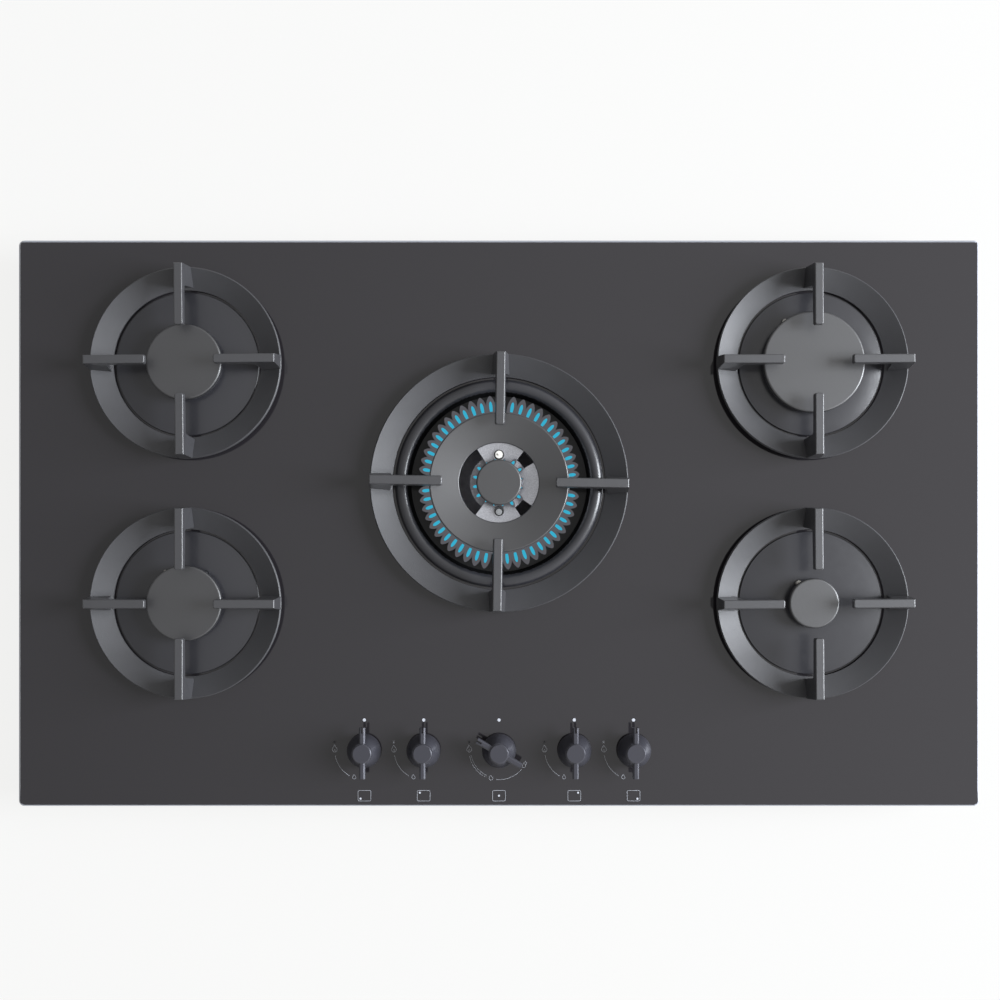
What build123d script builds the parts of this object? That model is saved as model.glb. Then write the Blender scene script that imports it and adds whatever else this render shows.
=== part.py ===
"""Built-in gas cooktop: five burners under cast-iron pan supports on a black glass top.

Millimetres. X runs left to right, Y from front to rear and Z up. The origin is the middle of the
underside of the tray that hangs through the worktop. Heights that start from the glass are added
to top, the height of its upper face.
"""

import os
from math import cos, radians, sin, sqrt, tan

from build123d import *

os.makedirs("parts", exist_ok=True)

# ---------------------------------------------------------------- glass top, seal and tray
glass_w = 900.0  # left to right
glass_d = 530.0  # front to rear
glass_t = 8.0
glass_corner_r = 5.0
ground_edge = 2.0  # polished edge all round
bevel_w = 17.0  # shallow bevel along the front
bevel_drop = 1.0

seal_t = 3.0
seal_w = 10.0
seal_inset = 4.0  # from the edge of the glass

overhang = 30.0  # of the glass past the tray
tray_w = glass_w - 2 * overhang
tray_d = glass_d - 2 * overhang
tray_h = 45.0
sheet_t = 1.0
tray_corner_r = 18.0
flange_w = 8.0  # turned-out rim that the glass is bonded to
pad_h = 4.0  # height of the pressed-up seats for the burner cups
pad_over = 4.0  # their radius past the burner cup
pocket_w = 60.0  # recessed corner for the gas inlet
pocket_d = 60.0
pocket_h = 30.0
bead_len = 75.0  # stiffening beads in the floor, in pairs
bead_w = 16.0
bead_h = 2.0
bead_pitch = 34.0
vent_len = 34.0  # air slots in the floor
vent_w = 5.0
vent_pitch = 12.0
vent_count = 4  # on each side
vent_y = 120.0

top = tray_h + glass_t  # upper face of the glass

# ---------------------------------------------------------------- burners
side_in = 159.0  # outer burners from the sides of the glass
rear_in = 116.5  # rear burners from its rear edge
side_x = glass_w / 2 - side_in
rear_y = glass_d / 2 - rear_in
front_y = -74.5
centre_y = 37.0

medium_cap_r = 35.0
large_cap_r = 47.0
small_cap_r = 23.2
medium_ports = 30
large_ports = 40
small_ports = 20

cap_t = 5.3
cap_edge_r = 1.8
cap_under_r = 0.6
crown_h = 14.2  # top of the flame ring above the glass
neck_h = 5.2  # rim of the burner cup above the glass
port_w = 1.8
port_h = 5.0
crown_wall = 4.0
crown_in = 3.0  # flame ring inside the cap's edge
flange_t = 2.0
flange_in = 2.0  # crown flange inside the cap's edge
skirt_h = 5.0
skirt_wall = 2.0
venturi_r = 8.0
venturi_wall = 2.0
venturi_drop = 9.0  # below the glass top
neck_in = 5.0  # cup neck inside the cap's edge
neck_wall = 2.5
seat_gap = 0.3  # between lifting parts and what they sit in
rib_gap = 0.4
rib_h = 2.5
rib_wall = 2.0

base_t = 5.0
deck_t = 3.0
deck_gap = 0.5  # under the glass
deck_over = 7.0  # past the cap
hole_over = 4.0  # glass hole past the cap
window_w = 16.0  # air openings in the burner cups
window_h = 13.0
window_z = 11.0
arm_r = 6.0  # gas arms in the cups
hub_r = 8.0
hub_rise = 6.0  # above the gas pipes' axis

dish_r = 67.0
dish_h = 4.8
dish_rim_h = 2.2
dish_t = 1.4
dish_swell = 0.7  # rise of the convex top over a straight line
dish_foot = 3.0  # flat ring that stands on the glass
dish_edge = 0.6  # rounding of the rim
dish_gap = 0.4

electrode_angle = 123.0
electrode_in = 1.0  # axis inside the cap's edge
electrode_r = 2.4
electrode_h = 10.0
electrode_pin_r = 0.8
electrode_pin_h = 12.8
collar_over = 1.0
collar_t = 2.0
stem_drop = 14.0  # below the deck
probe_angle = 57.0
probe_in = 2.0
probe_r = 1.8
probe_h = 12.6
notch_gap = 0.6

jet_r = 4.0
jet_h = 3.0
jet_tip_r = 2.5
jet_tip_h = 1.5

# ---------------------------------------------------------------- double-ring burner in the middle
ring_cap_r = 64.4
ring_cap_hole_r = 36.8
ring_cap_h = 23.0  # outer edge above the glass
ring_cap_dip = 5.5  # inner edge lower than the outer one
ring_cap_edge = 1.3
ring_crown_h = 15.5
ring_ports = 12  # in each quarter, with none under the pan support's fingers
ring_port_pitch = 6.72  # degrees
ring_crown_turn = -1.9  # degrees that the crown stands turned
ring_wall_out = 62.5
ring_wall_in = 38.5
ring_wall = 4.5
ring_wall_thin = 3.0
ring_flange_r = 65.2
ring_flange_h = 4.2
feed_r = 4.0
feed_count = 8
hub_cap_r = 21.0
hub_cap_t = 6.0
hub_crown_h = 17.5
hub_ports = 16
hub_port_turn = 9.5  # degrees, the first of them
hub_wall_r = 19.5
hub_ledge_r = 27.0  # shelf round the inner ring
hub_ledge_h = 8.0
land_h = 15.0  # bright lands between the rings, at their outer edge
land_dip = 3.0  # inner edge lower than the outer one
land_t = 3.5
land_angles = [(52.0, 123.0), (-35.0, 30.0), (-126.0, -57.0)]
boss_h = 1.0
boss_wall = 1.6
centre_electrode_y = 26.0
centre_electrode_r = 3.5
centre_electrode_h = 16.6
centre_electrode_pin_h = 18.0
centre_probe_y = -27.0
centre_probe_r = 2.9
centre_probe_h = 15.6
centre_probe_tip_r = 1.6
centre_probe_tip_h = 17.4

cup_r = 66.0  # wall of the middle burner cup
cup_wall = 3.0
cup_base_r = 74.0
cup_inner_r = 43.0
cup_inner_drop = 3.0
boss_post_h = 12.0

bowl_rim_r = 97.2
bowl_rim_h = 2.0
bowl_crest_r = 91.5
bowl_crest_h = 5.8
bowl_well_r = 84.0
bowl_t = 1.5
bowl_depth = 8.0
bowl_collar_h = 1.0
bowl_gap = 0.7  # round the burner cup
bowl_hole_gap = 1.0  # to the hole in the glass
bowl_draft = 1.5

# ---------------------------------------------------------------- pan supports
support_h = 40.0
small_ring_r = 88.9
small_ring_hole_r = 68.8
small_tip_r = 31.1
small_finger_w = 7.8
small_finger_draft = 4.5  # degrees on each flank
large_ring_r = 120.0
large_ring_hole_r = 99.4
large_tip_r = 51.8
large_finger_w = 8.0
large_finger_draft = 6.5
ring_h = 13.0  # outer edge of the dished ring
ring_lip_h = 3.9  # its inner edge
ring_edge = 1.0
ring_skin = 2.6
ring_web = 3.0  # inner wall, and the breadth of the rim's edge
finger_tip_t = 6.5
finger_root_t = 7.5
finger_edge_r = 1.1
finger_tip_r = 1.8  # corners of the tip, seen from above
finger_set_in = 1.9  # top of the outer end, inside the ring's edge
finger_foot_in = 0.3  # its foot, inside the ring's edge
post_reach = 1.0  # top of the finger's post, inside the ring's hole
post_heel = 2.0  # its foot, outside the hole
post_r = 3.0  # fillet between the post and the finger's underside
foot_t = 2.0
foot_r = 4.5
foot_stem_r = 1.5
foot_stem_h = 3.0
foot_stem_gap = 0.1

# ---------------------------------------------------------------- knobs and taps
knob_x = [-126.0, -70.5, 0.0, 70.5, 126.0]
knob_in = 52.5  # from the front edge of the glass
knob_y = -glass_d / 2 + knob_in
centre_knob_turn = 60.0  # the middle knob as it stands
knob_r = 15.9
knob_h = 27.0
knob_clear = 4.2  # above the glass
knob_rim_h = 1.2
knob_disc_r = 8.85
knob_disc_t = 3.2
knob_disc_edge = 0.8
knob_step = 0.6  # ledge under the disc
knob_swell = 1.1  # how far the skirt bulges
knob_skin = 1.5
knob_hub_r = 5.2
bar_len = 46.8
bar_w = 5.4
bar_top = 24.5
bar_bottom = 17.3
bar_bevel = 1.3
slot_w = 1.7
slot_len = 4.8

press = 3.0  # how far a knob goes down
press_spare = 1.0
spindle_r = 3.0
spindle_flat = 1.6  # from the axis to the flat
spindle_edge = 0.4
fit_gap = 0.05  # running fits
bore_top = 18.0
tap_r = 11.0
tap_bottom = 8.0
tap_top = 39.0
tap_collar_r = 6.5
tap_collar_top = 43.5
plug_bottom = 12.0
plug_top = 32.0
plug_r_low = 5.6
plug_r_high = 6.6
plug_floor = 2.0
plug_port_r = 1.5
plug_port_z = 24.0
magnet_r = 6.0
magnet_len = 18.0
switch_w = 26.0
switch_d = 16.0
switch_t = 4.0
bush_hole_r = 8.0
bush_gap = 0.2
bush_bore_r = 4.5
bush_lip_r = 12.0
bush_lip_t = 0.8

# ---------------------------------------------------------------- gas rail, pipes and fittings
rail_r = 7.0
rail_z = 20.0
rail_back = 26.0  # behind the knobs
rail_left_x = -150.0
inlet_side = 28.0  # inlet from the tray's right wall
rail_right_x = tray_w / 2 - inlet_side
rail_bend_r = 30.0
rail_gap = 0.1
saddle_x = [-98.0, 35.0, 250.0]
saddle_t = 3.0
saddle_w = 24.0
saddle_over = 5.0
pipe_r = 4.0
pipe_z = 33.0
pipe_bend_r = 20.0
pipe_seat = 5.0  # depth of a pipe's end in its socket
socket_wall = 1.5
socket_len = 9.0
twin_x = 6.5  # the middle tap's two outlets
ring_pipe_x = -24.0
lane_back = 51.0  # first turn of the outer pipes, behind the knobs
lane_step = 38.0
lane_x = 160.0  # the rear burners' pipes pass the middle burner here

inlet_r = 10.4775  # G 1/2 male thread, major radius
inlet_len = 10.0
inlet_body_r = 12.0
inlet_neck_r = 8.0
inlet_nut_r = 12.0
inlet_nut_t = 7.0
inlet_back = 29.0  # from the tray's rear wall
inlet_y = tray_d / 2 - inlet_back
inlet_low_z = 1.5

generator_w = 84.0
generator_d = 36.0
generator_h = 26.0
generator_back = 40.0  # from the tray's rear wall
generator_y = tray_d / 2 - generator_back
generator_edge_r = 3.0
generator_ear = 9.0
generator_ear_r = 4.0
generator_post_r = 2.6
generator_post_h = 5.0

gland_x = -330.0
gland_z = 22.0
gland_r = 6.5
gland_nut_r = 9.0
gland_len = 6.0
gland_bore_r = 4.0

# ---------------------------------------------------------------- clamps and screws
clamp_y = 130.0
clamp_w = 30.0
clamp_t = 2.0
clamp_leg_z = 30.0
clamp_arm_z = 9.0
clamp_reach = 20.0
clamp_lip_h = 2.5
clamp_slot_len = 12.0
clamp_screw_z = 20.0
screw_r = 2.0
screw_head_r = 3.8
screw_head_t = 2.1
screw_gap = 0.05
screw_turn_in = 8.0

BURNERS = [  # name, x, y, cap radius, flame ports, direction the gas comes from
    ("lr", -side_x, rear_y, medium_cap_r, medium_ports, -35.0),
    ("lf", -side_x, front_y, medium_cap_r, medium_ports, -60.0),
    ("rr", side_x, rear_y, large_cap_r, large_ports, 215.0),
    ("rf", side_x, front_y, small_cap_r, small_ports, 240.0),
]
# how far each loose pan support stands turned, in degrees
SUPPORT_TURNS = {"lr": 0.5, "lf": 0.0, "rr": 0.2, "rf": 0.4, "centre": -0.9}
seat_top = pad_h  # upper face of the seats in the tray
deck_top = tray_h - deck_gap


# ---------------------------------------------------------------- helpers
def upright(x, y):
    """The plane of a turned part's profile: radius across, height up."""
    return Plane(origin=(x, y, 0), x_dir=(1, 0, 0), z_dir=(0, -1, 0))


def upright_axis(x, y):
    return Axis((x, y, 0), (0, 0, 1))


def around(x, y, radius, angle):
    """The point at a radius and an angle in degrees round x, y."""
    return (x + radius * cos(radians(angle)), y + radius * sin(radians(angle)))


def save(piece, name):
    piece.part.label = name
    export_step(piece.part, f"parts/{name}.step")


def knob_turn(index):
    return centre_knob_turn if knob_x[index] == 0 else 0.0


# ---------------------------------------------------------------- glass, seal and tray
def make_glass_top():
    with BuildPart() as glass_top:
        with BuildSketch(Plane.XY.offset(tray_h)):
            RectangleRounded(glass_w, glass_d, glass_corner_r)
            for _, x, y, cap_r, _, _ in BURNERS:
                with Locations((x, y)):
                    Circle(cap_r + hole_over, mode=Mode.SUBTRACT)
            with Locations((0, centre_y)):
                Circle(bowl_well_r + bowl_t + bowl_hole_gap, mode=Mode.SUBTRACT)
            with Locations(*[(x, knob_y) for x in knob_x]):
                Circle(bush_hole_r, mode=Mode.SUBTRACT)
        extrude(amount=glass_t)
        chamfer(glass_top.faces().sort_by(Axis.Z)[-1].outer_wire().edges(), ground_edge)
        with BuildSketch(Plane.YZ):
            with BuildLine():
                Polyline(
                    (-glass_d / 2, top - bevel_drop),
                    (-glass_d / 2 + bevel_w, top),
                    (-glass_d / 2 + bevel_w, top + bevel_drop),
                    (-glass_d / 2, top + bevel_drop),
                    close=True,
                )
            make_face()
        extrude(amount=glass_w, both=True, mode=Mode.SUBTRACT)
    save(glass_top, "glass_top")


def make_worktop_seal():
    outer_w = glass_w - 2 * seal_inset
    outer_d = glass_d - 2 * seal_inset
    with BuildPart() as worktop_seal:
        with BuildSketch(Plane.XY.offset(tray_h - seal_t)):
            RectangleRounded(outer_w, outer_d, glass_corner_r)
            RectangleRounded(
                outer_w - 2 * seal_w, outer_d - 2 * seal_w, glass_corner_r, mode=Mode.SUBTRACT
            )
        extrude(amount=seal_t)
    save(worktop_seal, "worktop_seal")


def cup_seats():
    """Middle and radius of each pressed-up seat in the tray's floor."""
    seats = [(x, y, cap_r + deck_over + pad_over) for _, x, y, cap_r, _, _ in BURNERS]
    return seats + [(0, centre_y, cup_base_r + pad_over)]


def small_cup_screws(x, y, cap_r, gas_angle):
    """Places of the three screws that come up into a small burner's cup."""
    radius = cap_r + deck_over - screw_head_r
    return [around(x, y, radius, gas_angle + turn) for turn in (60, 180, 300)]


def centre_cup_screws():
    radius = cup_base_r - screw_head_r
    return [around(0, centre_y, radius, turn) for turn in (45, 135, 225, 315)]


def cup_screws():
    places = centre_cup_screws()
    for _, x, y, cap_r, _, gas_angle in BURNERS:
        places += small_cup_screws(x, y, cap_r, gas_angle)
    return places


def clamp_planes():
    """Planes on the tray's side walls, facing out, one for each clamp."""
    planes = []
    for side in (-1, 1):
        for y in (-clamp_y, clamp_y):
            origin = (side * tray_w / 2, y, 0)
            planes.append(Plane(origin=origin, x_dir=(0, side, 0), z_dir=(side, 0, 0)))
    return planes


def pocket_at():
    """Inner corner of the recess for the gas inlet."""
    return (tray_w / 2 - pocket_w, tray_d / 2 - pocket_d)


def make_tray():
    """The tray's floor, which the wall band stands on."""
    with BuildPart() as tray:
        with BuildSketch():
            RectangleRounded(tray_w, tray_d, tray_corner_r)
            with Locations(pocket_at()):
                Rectangle(
                    pocket_w, pocket_d, align=(Align.MIN, Align.MIN), mode=Mode.SUBTRACT
                )
        extrude(amount=sheet_t)
        # pressed-up seats under the burner cups
        for x, y, radius in cup_seats():
            with BuildSketch():
                with Locations((x, y)):
                    Circle(radius)
            extrude(amount=seat_top)
            with BuildSketch():
                with Locations((x, y)):
                    Circle(radius - sheet_t)
            extrude(amount=seat_top - sheet_t, mode=Mode.SUBTRACT)
        # beads and air slots between the burners
        bead_places = [(-side_x / 2, -bead_pitch), (side_x / 2, -bead_pitch)]
        with BuildSketch():
            with Locations(*bead_places):
                with GridLocations(bead_pitch, 0, 2, 1):
                    SlotOverall(bead_len, bead_w, rotation=90)
        extrude(amount=bead_h + sheet_t)
        with BuildSketch():
            with Locations(*bead_places):
                with GridLocations(bead_pitch, 0, 2, 1):
                    SlotOverall(bead_len - 2 * sheet_t, bead_w - 2 * sheet_t, rotation=90)
        extrude(amount=bead_h, mode=Mode.SUBTRACT)
        with BuildSketch():
            with Locations((-side_x / 2, vent_y), (side_x / 2, vent_y)):
                with GridLocations(0, vent_pitch, 1, vent_count):
                    SlotOverall(vent_len, vent_w)
        extrude(amount=sheet_t, mode=Mode.SUBTRACT)
        with BuildSketch():
            with Locations(*cup_screws()):
                Circle(screw_r + screw_gap)
        extrude(amount=seat_top, mode=Mode.SUBTRACT)
    save(tray, "tray")


def make_tray_walls():
    """The band round the floor, with the rim under the glass and the inlet's recess."""
    inner_r = tray_corner_r - sheet_t
    corner = (Align.MIN, Align.MIN)
    with BuildPart() as tray_walls:
        with BuildSketch(Plane.XY.offset(sheet_t)):
            RectangleRounded(tray_w, tray_d, tray_corner_r)
        extrude(amount=tray_h - sheet_t)
        with BuildSketch(Plane.XY.offset(tray_h - sheet_t)):
            RectangleRounded(tray_w + 2 * flange_w, tray_d + 2 * flange_w, tray_corner_r + flange_w)
        extrude(amount=sheet_t)
        # the recess
        with BuildSketch():
            with Locations(pocket_at()):
                Rectangle(pocket_w, pocket_d, align=corner)
        extrude(amount=pocket_h, mode=Mode.SUBTRACT)
        # inside, beside the recess and then over it
        with BuildSketch():
            RectangleRounded(tray_w - 2 * sheet_t, tray_d - 2 * sheet_t, inner_r)
            with Locations((pocket_at()[0] - sheet_t, pocket_at()[1] - sheet_t)):
                Rectangle(
                    pocket_w + 2 * sheet_t, pocket_d + 2 * sheet_t, align=corner, mode=Mode.SUBTRACT
                )
        extrude(amount=pocket_h + sheet_t, mode=Mode.SUBTRACT)
        with BuildSketch(Plane.XY.offset(pocket_h + sheet_t)):
            RectangleRounded(tray_w - 2 * sheet_t, tray_d - 2 * sheet_t, inner_r)
        extrude(amount=tray_h, mode=Mode.SUBTRACT)
        # holes for the clamps' screws, the gland and the inlet
        for plane in clamp_planes():
            with BuildSketch(plane):
                with Locations((0, clamp_screw_z)):
                    Circle(screw_r + screw_gap)
            extrude(amount=-sheet_t * 2, mode=Mode.SUBTRACT)
        with BuildSketch(Plane.XZ.offset(-tray_d / 2)):
            with Locations((gland_x, gland_z)):
                Circle(gland_r + seat_gap)
        extrude(amount=sheet_t * 2, both=True, mode=Mode.SUBTRACT)
        with BuildSketch(Plane.XZ.offset(-pocket_at()[1])):
            with Locations((rail_right_x, rail_z)):
                Circle(inlet_neck_r + seat_gap)
        extrude(amount=sheet_t * 2, both=True, mode=Mode.SUBTRACT)
    save(tray_walls, "tray_walls")


# ---------------------------------------------------------------- small burners
def facing_in(x, y, reach, angle):
    """A plane across the gas arm's axis, at a reach from x, y and facing it."""
    way = Vector(cos(radians(angle)), sin(radians(angle)), 0)
    return Plane(origin=Vector(x, y, pipe_z) + way * reach, z_dir=way * -1)


def make_burner_cup(name, x, y, cap_r, gas_angle):
    neck_r = cap_r - neck_in
    deck_r = cap_r + deck_over
    with BuildPart() as cup:
        with BuildSketch(upright(x, y)):
            with BuildLine():
                Polyline(
                    (0, seat_top),
                    (deck_r, seat_top),
                    (deck_r, seat_top + base_t),
                    (neck_r, seat_top + base_t),
                    (neck_r, deck_top - deck_t),
                    (deck_r, deck_top - deck_t),
                    (deck_r, deck_top),
                    (neck_r, deck_top),
                    (neck_r, top + neck_h),
                    (neck_r - neck_wall, top + neck_h),
                    (neck_r - neck_wall, seat_top + base_t),
                    (0, seat_top + base_t),
                    close=True,
                )
            make_face()
        revolve(axis=upright_axis(x, y))
        # air openings round the foot, clear of the gas arm
        with BuildSketch(Plane.XY.offset(window_z)):
            with Locations((x, y)):
                with PolarLocations(neck_r - neck_wall / 2, 3, start_angle=gas_angle + 60):
                    Rectangle(neck_wall * 3, window_w)
        extrude(amount=window_h, mode=Mode.SUBTRACT)
        # gas arm to the middle, with the jet's hub
        plane = facing_in(x, y, deck_r + pipe_seat, gas_angle)
        with BuildSketch(plane):
            Circle(arm_r)
        extrude(amount=deck_r + pipe_seat)
        with BuildSketch(Plane.XY.offset(seat_top + base_t)):
            with Locations((x, y)):
                Circle(hub_r)
        extrude(amount=pipe_z + hub_rise - seat_top - base_t)
        with BuildSketch(plane):
            Circle(pipe_r + fit_gap)
        extrude(amount=pipe_seat, mode=Mode.SUBTRACT)
        # holes for the electrode and the probe
        with BuildSketch(Plane.XY.offset(deck_top - deck_t)):
            with Locations(around(x, y, cap_r - electrode_in, electrode_angle)):
                Circle(electrode_r + fit_gap)
            with Locations(around(x, y, cap_r - probe_in, probe_angle)):
                Circle(probe_r + fit_gap)
        extrude(amount=deck_t, mode=Mode.SUBTRACT)
        with BuildSketch(Plane.XY.offset(seat_top)):
            with Locations(*small_cup_screws(x, y, cap_r, gas_angle)):
                Circle(screw_r + screw_gap)
        extrude(amount=base_t, mode=Mode.SUBTRACT)
    save(cup, f"burner_cup_{name}")


def make_crown(name, x, y, cap_r, ports):
    neck_r = cap_r - neck_in
    skirt_r = neck_r - neck_wall - seat_gap
    wall_r = cap_r - crown_in
    with BuildPart() as crown:
        with BuildSketch(upright(x, y)):
            with BuildLine():
                Polyline(
                    (venturi_r - venturi_wall, top - venturi_drop),
                    (venturi_r, top - venturi_drop),
                    (venturi_r, top + neck_h),
                    (skirt_r - skirt_wall, top + neck_h),
                    (skirt_r - skirt_wall, top + neck_h - skirt_h),
                    (skirt_r, top + neck_h - skirt_h),
                    (skirt_r, top + neck_h),
                    (cap_r - flange_in, top + neck_h),
                    (cap_r - flange_in, top + neck_h + flange_t),
                    (wall_r, top + neck_h + flange_t),
                    (wall_r, top + crown_h),
                    (wall_r - crown_wall, top + crown_h),
                    (wall_r - crown_wall, top + neck_h + flange_t),
                    (venturi_r - venturi_wall, top + neck_h + flange_t),
                    close=True,
                )
            make_face()
        revolve(axis=upright_axis(x, y))
        # flame ports, open at the top where the cap closes them
        with BuildSketch(Plane.XY.offset(top + crown_h - port_h)):
            with Locations((x, y)):
                with PolarLocations(wall_r - crown_wall / 2, ports):
                    Rectangle(crown_wall + 1, port_w)
        extrude(amount=port_h, mode=Mode.SUBTRACT)
        # notches that pass the electrode and the probe
        with BuildSketch(Plane.XY.offset(top + neck_h)):
            with Locations(around(x, y, cap_r - electrode_in, electrode_angle)):
                Circle(electrode_r + notch_gap)
            with Locations(around(x, y, cap_r - probe_in, probe_angle)):
                Circle(probe_r + notch_gap)
        extrude(amount=crown_h, mode=Mode.SUBTRACT)
    save(crown, f"crown_{name}")


def make_cap(name, x, y, cap_r):
    rib_r = cap_r - crown_in - crown_wall - rib_gap
    with BuildPart() as cap:
        with BuildSketch(Plane.XY.offset(top + crown_h)):
            with Locations((x, y)):
                Circle(cap_r)
        extrude(amount=cap_t)
        fillet(cap.faces().sort_by(Axis.Z)[-1].edges(), cap_edge_r)
        fillet(cap.faces().sort_by(Axis.Z)[0].edges(), cap_under_r)
        with BuildSketch(Plane.XY.offset(top + crown_h)):
            with Locations((x, y)):
                Circle(rib_r)
                Circle(rib_r - rib_wall, mode=Mode.SUBTRACT)
        extrude(amount=-rib_h)
    save(cap, f"cap_{name}")


def make_spill_dishes():
    with BuildPart() as spill_dishes:
        for _, x, y, cap_r, _, _ in BURNERS:
            inner = cap_r - neck_in + dish_gap
            edge = dish_r - dish_edge
            middle = (inner + edge) / 2
            rise = (dish_h + dish_rim_h) / 2 + dish_swell
            with BuildSketch(upright(x, y)):
                with BuildLine():
                    start = (inner, top + dish_h)
                    rim = (edge, top + dish_rim_h)
                    ThreePointArc(start, (middle, top + rise), rim)
                    Polyline(
                        rim,
                        (dish_r, top + dish_rim_h / 2),
                        (dish_r - dish_edge, top),
                        (dish_r - dish_foot, top),
                        (dish_r - dish_foot, top + dish_rim_h - dish_t),
                    )
                    ThreePointArc(
                        (dish_r - dish_foot, top + dish_rim_h - dish_t),
                        (middle, top + rise - dish_t),
                        (inner, top + dish_h - dish_t),
                    )
                    Line((inner, top + dish_h - dish_t), start)
                make_face()
            revolve(axis=upright_axis(x, y))
            with BuildSketch(Plane.XY.offset(top)):
                with Locations(around(x, y, cap_r - electrode_in, electrode_angle)):
                    Circle(electrode_r + notch_gap)
                with Locations(around(x, y, cap_r - probe_in, probe_angle)):
                    Circle(probe_r + notch_gap)
            extrude(amount=dish_h + 1, mode=Mode.SUBTRACT)
    save(spill_dishes, "spill_dishes")


# ---------------------------------------------------------------- double-ring burner
def upright_at(angle):
    """The plane of a turned profile of the middle burner, at an angle round it."""
    across = (cos(radians(angle)), sin(radians(angle)), 0)
    facing = (sin(radians(angle)), -cos(radians(angle)), 0)
    return Plane(origin=(0, centre_y, 0), x_dir=across, z_dir=facing)


def ring_jet_y():
    middle = (cup_r - cup_wall + cup_inner_r) / 2
    return centre_y - sqrt(middle**2 - ring_pipe_x**2)


def make_burner_cup_centre():
    floor = seat_top + base_t
    with BuildPart() as cup:
        with BuildSketch(upright(0, centre_y)):
            with BuildLine():
                Polyline(
                    (0, seat_top),
                    (cup_base_r, seat_top),
                    (cup_base_r, floor),
                    (cup_r, floor),
                    (cup_r, top + ring_flange_h),
                    (cup_r - cup_wall, top + ring_flange_h),
                    (cup_r - cup_wall, floor),
                    (cup_inner_r, floor),
                    (cup_inner_r, top - cup_inner_drop),
                    (cup_inner_r - cup_wall, top - cup_inner_drop),
                    (cup_inner_r - cup_wall, floor),
                    (0, floor),
                    close=True,
                )
            make_face()
        revolve(axis=upright_axis(0, centre_y))
        with BuildSketch(Plane.XY.offset(window_z)):
            with Locations((0, centre_y)):
                with PolarLocations(cup_r - cup_wall / 2, 4):
                    Rectangle(cup_wall * 3, window_w * 2)
        extrude(amount=window_h, mode=Mode.SUBTRACT)
        # hubs for the two jets
        with BuildSketch(Plane.XY.offset(floor)):
            with Locations((0, centre_y), (ring_pipe_x, ring_jet_y())):
                Circle(hub_r)
        extrude(amount=pipe_z + hub_rise - floor)
        # gas arms from the front
        front = centre_y - cup_base_r - pipe_seat
        with BuildSketch(Plane(origin=(0, front, pipe_z), x_dir=(1, 0, 0), z_dir=(0, -1, 0))):
            with Locations((ring_pipe_x, 0)):
                Circle(arm_r)
        extrude(amount=front - ring_jet_y())
        with BuildSketch(Plane(origin=(0, front, pipe_z), x_dir=(1, 0, 0), z_dir=(0, -1, 0))):
            with Locations((twin_x, 0)):
                Circle(arm_r)
        extrude(amount=front - centre_y)
        with BuildSketch(Plane(origin=(0, front, pipe_z), x_dir=(1, 0, 0), z_dir=(0, -1, 0))):
            with Locations((ring_pipe_x, 0), (twin_x, 0)):
                Circle(pipe_r + fit_gap)
        extrude(amount=-pipe_seat, mode=Mode.SUBTRACT)
        # posts that hold the electrode and the probe
        posts = (
            (centre_electrode_y, centre_electrode_r),
            (centre_probe_y, centre_probe_r),
        )
        for away, radius in posts:
            with BuildSketch(Plane.XY.offset(floor)):
                with Locations((0, centre_y + away)):
                    Circle(radius + boss_wall)
            extrude(amount=boss_post_h)
            with BuildSketch(Plane.XY.offset(floor)):
                with Locations((0, centre_y + away)):
                    Circle(radius + fit_gap)
            extrude(amount=pipe_z, mode=Mode.SUBTRACT)
        with BuildSketch(Plane.XY.offset(seat_top)):
            with Locations(*centre_cup_screws()):
                Circle(screw_r + screw_gap)
        extrude(amount=base_t, mode=Mode.SUBTRACT)
    save(cup, "burner_cup_centre")


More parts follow.
